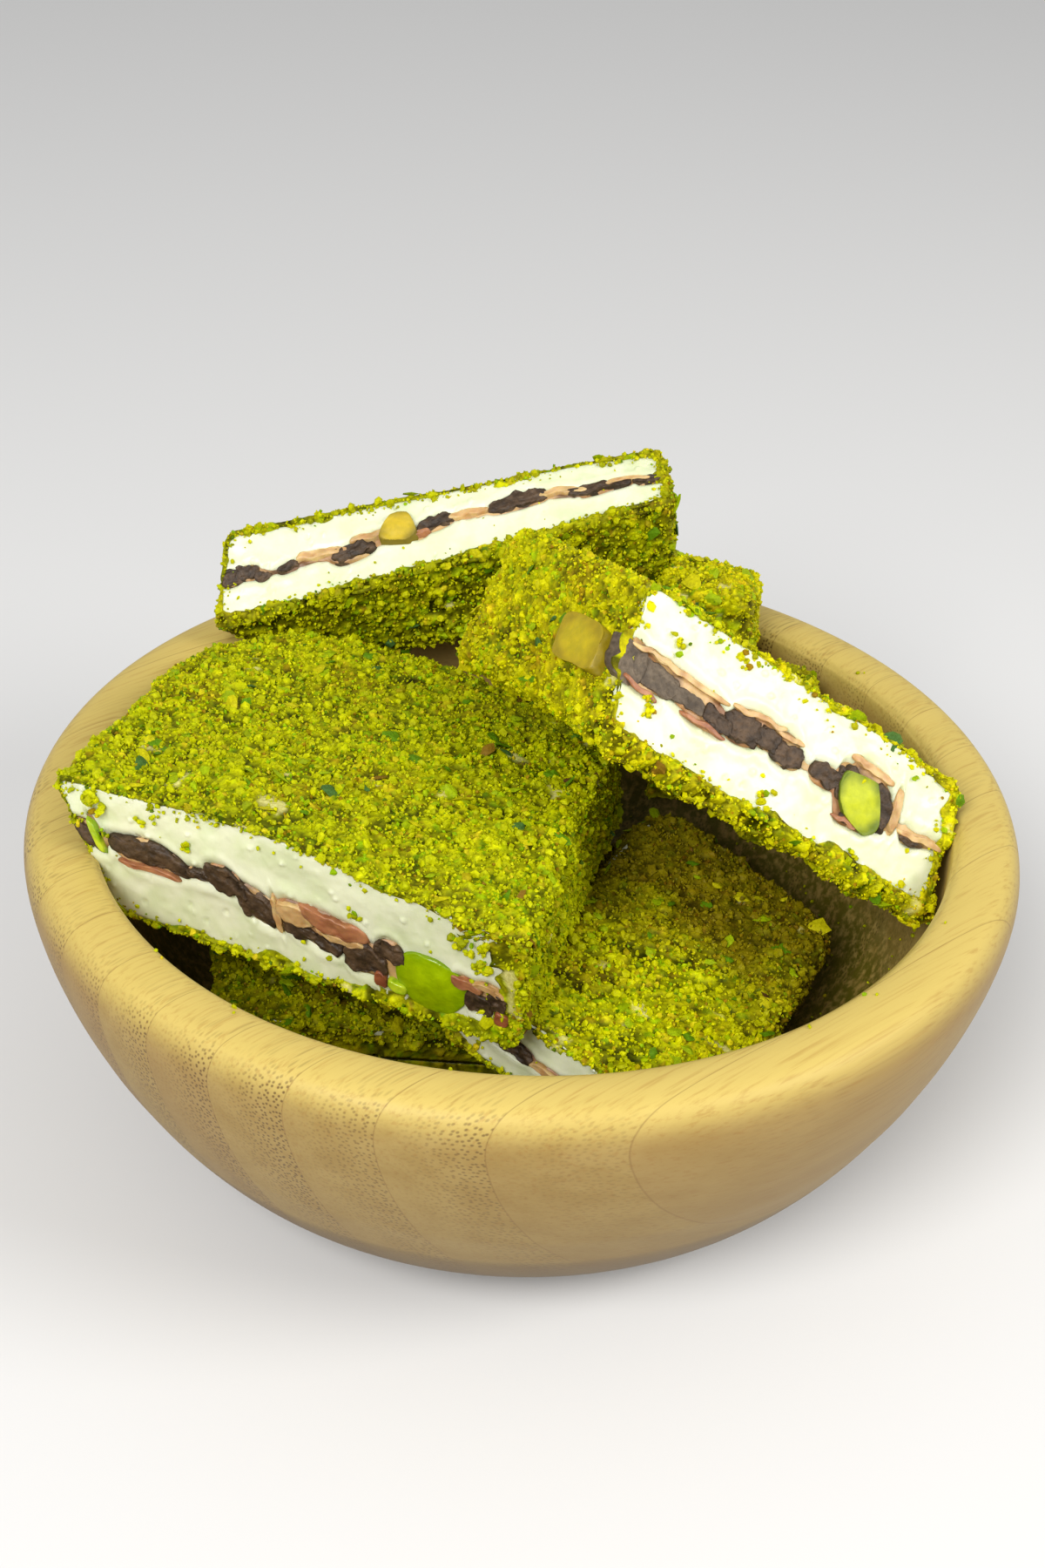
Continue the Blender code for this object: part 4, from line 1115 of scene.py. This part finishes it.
def bowl_profile():
    """Radius and height from the middle of the base, out and up the wall, over the lip and down."""
    return np.array([
        (1, 0), (BASE_RADIUS - 1, 0), (BASE_RADIUS + 0.5, 0.35), (38, 2.6), (45.4, 8), (50.3, 14.2),
        (54.2, 21.2), (55.9, 24.9), (57.7, 29.6), (59.2, 34.8), (60, 39.6), (59.6, 42.4), (58.2, 44.2),
        (55.6, 44.8), (53.2, 44.6), (52.1, 43.9), (LIP_RADIUS, 42.4), (51.1, 35), (49.6, 28),
        (47.3, 22), (44.3, 17), (40.6, 13), (36.1, 10), (31.1, 8), (24.1, 6.5), (14, 5.6),
        (1, FLOOR_HEIGHT)])


def smooth_path(points, pieces):
    """A curve through the points: between each two, a cubic whose slope at a point is that of the
    line between its neighbours."""
    padded = np.concatenate([points[:1], points, points[-1:]])
    t = np.linspace(0, 1, pieces, endpoint=False)[:, None]
    rows = []
    for k in range(len(points) - 1):
        p0, p1, p2, p3 = padded[k:k + 4]
        rows.append(0.5 * (2 * p1 + (p2 - p0) * t + (2 * p0 - 5 * p1 + 4 * p2 - p3) * t**2
                           + (3 * p1 - p0 - 3 * p2 + p3) * t**3))
    return np.concatenate(rows + [points[-1:]])


def make_bowl():
    """The turned bowl: its profile carried round the axis. Painted shade, olive like ground pistachio,
    darkens the inside, stronger towards the bottom, and painted shade darkens the wood outside
    downwards, with a step where the foot begins."""
    profile = smooth_path(bowl_profile(), 7)
    radius, height = profile.T
    height = np.maximum(height, 0.0)
    angle = np.arange(BOWL_SEGMENTS) * 2 * np.pi / BOWL_SEGMENTS
    rings = np.stack([radius[:, None] * np.cos(angle), radius[:, None] * np.sin(angle),
                      height[:, None] + 0 * angle], -1).reshape(-1, 3)
    points = np.concatenate([[[0, 0, 0.0]], rings, [[0, 0, FLOOR_HEIGHT]]])
    triangles = outward(points, ring_triangles(len(profile), BOWL_SEGMENTS))
    inside = np.arange(len(profile)) > np.argmax(height)
    # Painted shade: the low inner wall olive and darker, the outside darker towards the foot.
    inner_shade = 0.95 * np.clip((30.0 - height) / 12.0, 0, 1) * inside
    pale = np.where(inside, 1.0, np.interp(height, FOOT_TO_LIP, UNSHADED_BY_HEIGHT))
    tint = np.repeat(np.stack([inner_shade, pale, 0 * pale], -1), BOWL_SEGMENTS, axis=0)
    tint = np.concatenate([tint[:1], tint, tint[-1:]])
    make_piece("bowl_turned", points, triangles, "bamboo", ["bowl"], tint)


def make_bowl_crumbs():
    """Grains that fell off: a thin sprinkle down the inside of the wall, denser low down, and a few
    small clumps on the lip."""
    rng = np.random.default_rng(11)
    radius, height = smooth_path(bowl_profile(), 7).T
    inside = slice(int(np.argmax(height)), None)
    radius, height = radius[inside], height[inside]
    low = 7.5 + 25.0 * rng.random(WALL_CRUMBS) ** 1.4
    angle = rng.uniform(0, 2 * np.pi, WALL_CRUMBS)
    reach = np.interp(-low, -height, radius) - 0.15
    size = rng.uniform(0.3, 0.8, WALL_CRUMBS)
    for degrees, out, number in LIP_CRUMBS:
        angle = np.append(angle, np.radians(degrees) + 0.012 * rng.normal(size=number))
        reach = np.append(reach, out + 0.5 * rng.normal(size=number))
        size = np.append(size, rng.uniform(0.35, 0.8, number))
    low = np.append(low, np.interp(-reach[WALL_CRUMBS:], -radius, height) + 0.1)
    spot = np.stack([reach * np.cos(angle), reach * np.sin(angle), low], -1)
    shape = crumb_shapes()[1]
    points, triangles, tint = scatter(shape, spot, size, grain_tints(rng, len(spot)), rng)
    make_piece("bowl_crumbs", points, triangles, "crumb", tint=tint)


# ---- stage, light and camera

# Each light: place, size, power and colour; they look at a point a little over the floor.
LIGHTS = {
    "key": ((0.50, -0.22, 0.42), 0.30, 2.3, (1.0, 0.99, 0.96)),
    "fill": ((-0.28, -0.60, 0.62), 0.44, 6.8, (1.0, 0.99, 0.97)),
}
LIT_POINT = (0, 0, 0.03)
FLOOR_SIDE = 12.0
FLOOR_GREY = (0.74, 0.74, 0.74, 1)
SKY_STRENGTH = 0.45

# The camera looks down by this angle at the middle of the rim, from this far, turned about its own axis.
LOOK_DOWN = 33.73
CAMERA_TURN = 2.31
CAMERA_AWAY = 0.2749
RIM_HEIGHT = 0.0448
LENS = {"sensor_fit": "VERTICAL", "sensor_height": 36.0, "lens": 52.0, "shift_x": -0.00156,
        "shift_y": 0.00144, "clip_start": 0.01}


def make_stage():
    """A plain pale floor, a soft key light from the right front, a larger fill from the left front and an
    even sky.
    """
    mesh = bpy.data.meshes.new("floor")
    side = FLOOR_SIDE / 2
    corners = [(-side, -side, 0), (side, -side, 0), (side, side, 0), (-side, side, 0)]
    mesh.from_pydata(corners, [], [(0, 1, 2, 3)])
    paint = Recipe("floor_paint", 0.8)
    paint.colour(FLOOR_GREY)
    mesh.materials.append(paint.material)
    floor = show("floor", mesh)
    floor.location = (0, 0, -0.0002)
    for name, (place, size, power, colour) in LIGHTS.items():
        lamp = bpy.data.lights.new(name, "AREA")
        lamp.shape = "DISK"
        lamp.size = size
        lamp.energy = power
        lamp.color = colour
        holder = show(name, lamp)
        holder.location = place
        away = holder.location - Vector(LIT_POINT)
        holder.rotation_euler = away.to_track_quat("Z", "Y").to_euler()
    sky = bpy.data.worlds.new("sky")
    sky.use_nodes = True
    sky.node_tree.nodes["Background"].inputs["Color"].default_value = (1.0, 1.0, 1.0, 1)
    sky.node_tree.nodes["Background"].inputs["Strength"].default_value = SKY_STRENGTH
    bpy.context.scene.world = sky
    bpy.context.scene.view_settings.view_transform = "Standard"


def make_camera():
    lens = bpy.data.cameras.new("camera")
    for key, value in LENS.items():
        setattr(lens, key, value)
    camera = show("camera", lens)
    aim = Matrix.Translation((0, 0, RIM_HEIGHT)) @ Matrix.Rotation(np.radians(90 - LOOK_DOWN), 4, "X")
    turn = Matrix.Rotation(np.radians(CAMERA_TURN), 4, "Z")
    camera.matrix_world = aim @ Matrix.Translation((0, 0, CAMERA_AWAY)) @ turn
    bpy.context.scene.camera = camera


# ---- everything in order

make_camera()
make_stage()
make_bowl()
make_bowl_crumbs()
coats = {}
for slab_name, slab in SLABS.items():
    settle(slab_name, slab)
    coats[slab_name] = make_coat(slab_name, slab)
    make_white(slab_name, slab, "upper")
    make_white(slab_name, slab, "lower")
    make_film(slab_name, slab)
    make_chunks(slab_name, slab)
    make_crumbs(slab_name, slab, coats[slab_name])
make_flakes(coats)
for kernel_name, facts in KERNELS.items():
    make_kernel(kernel_name, *facts)
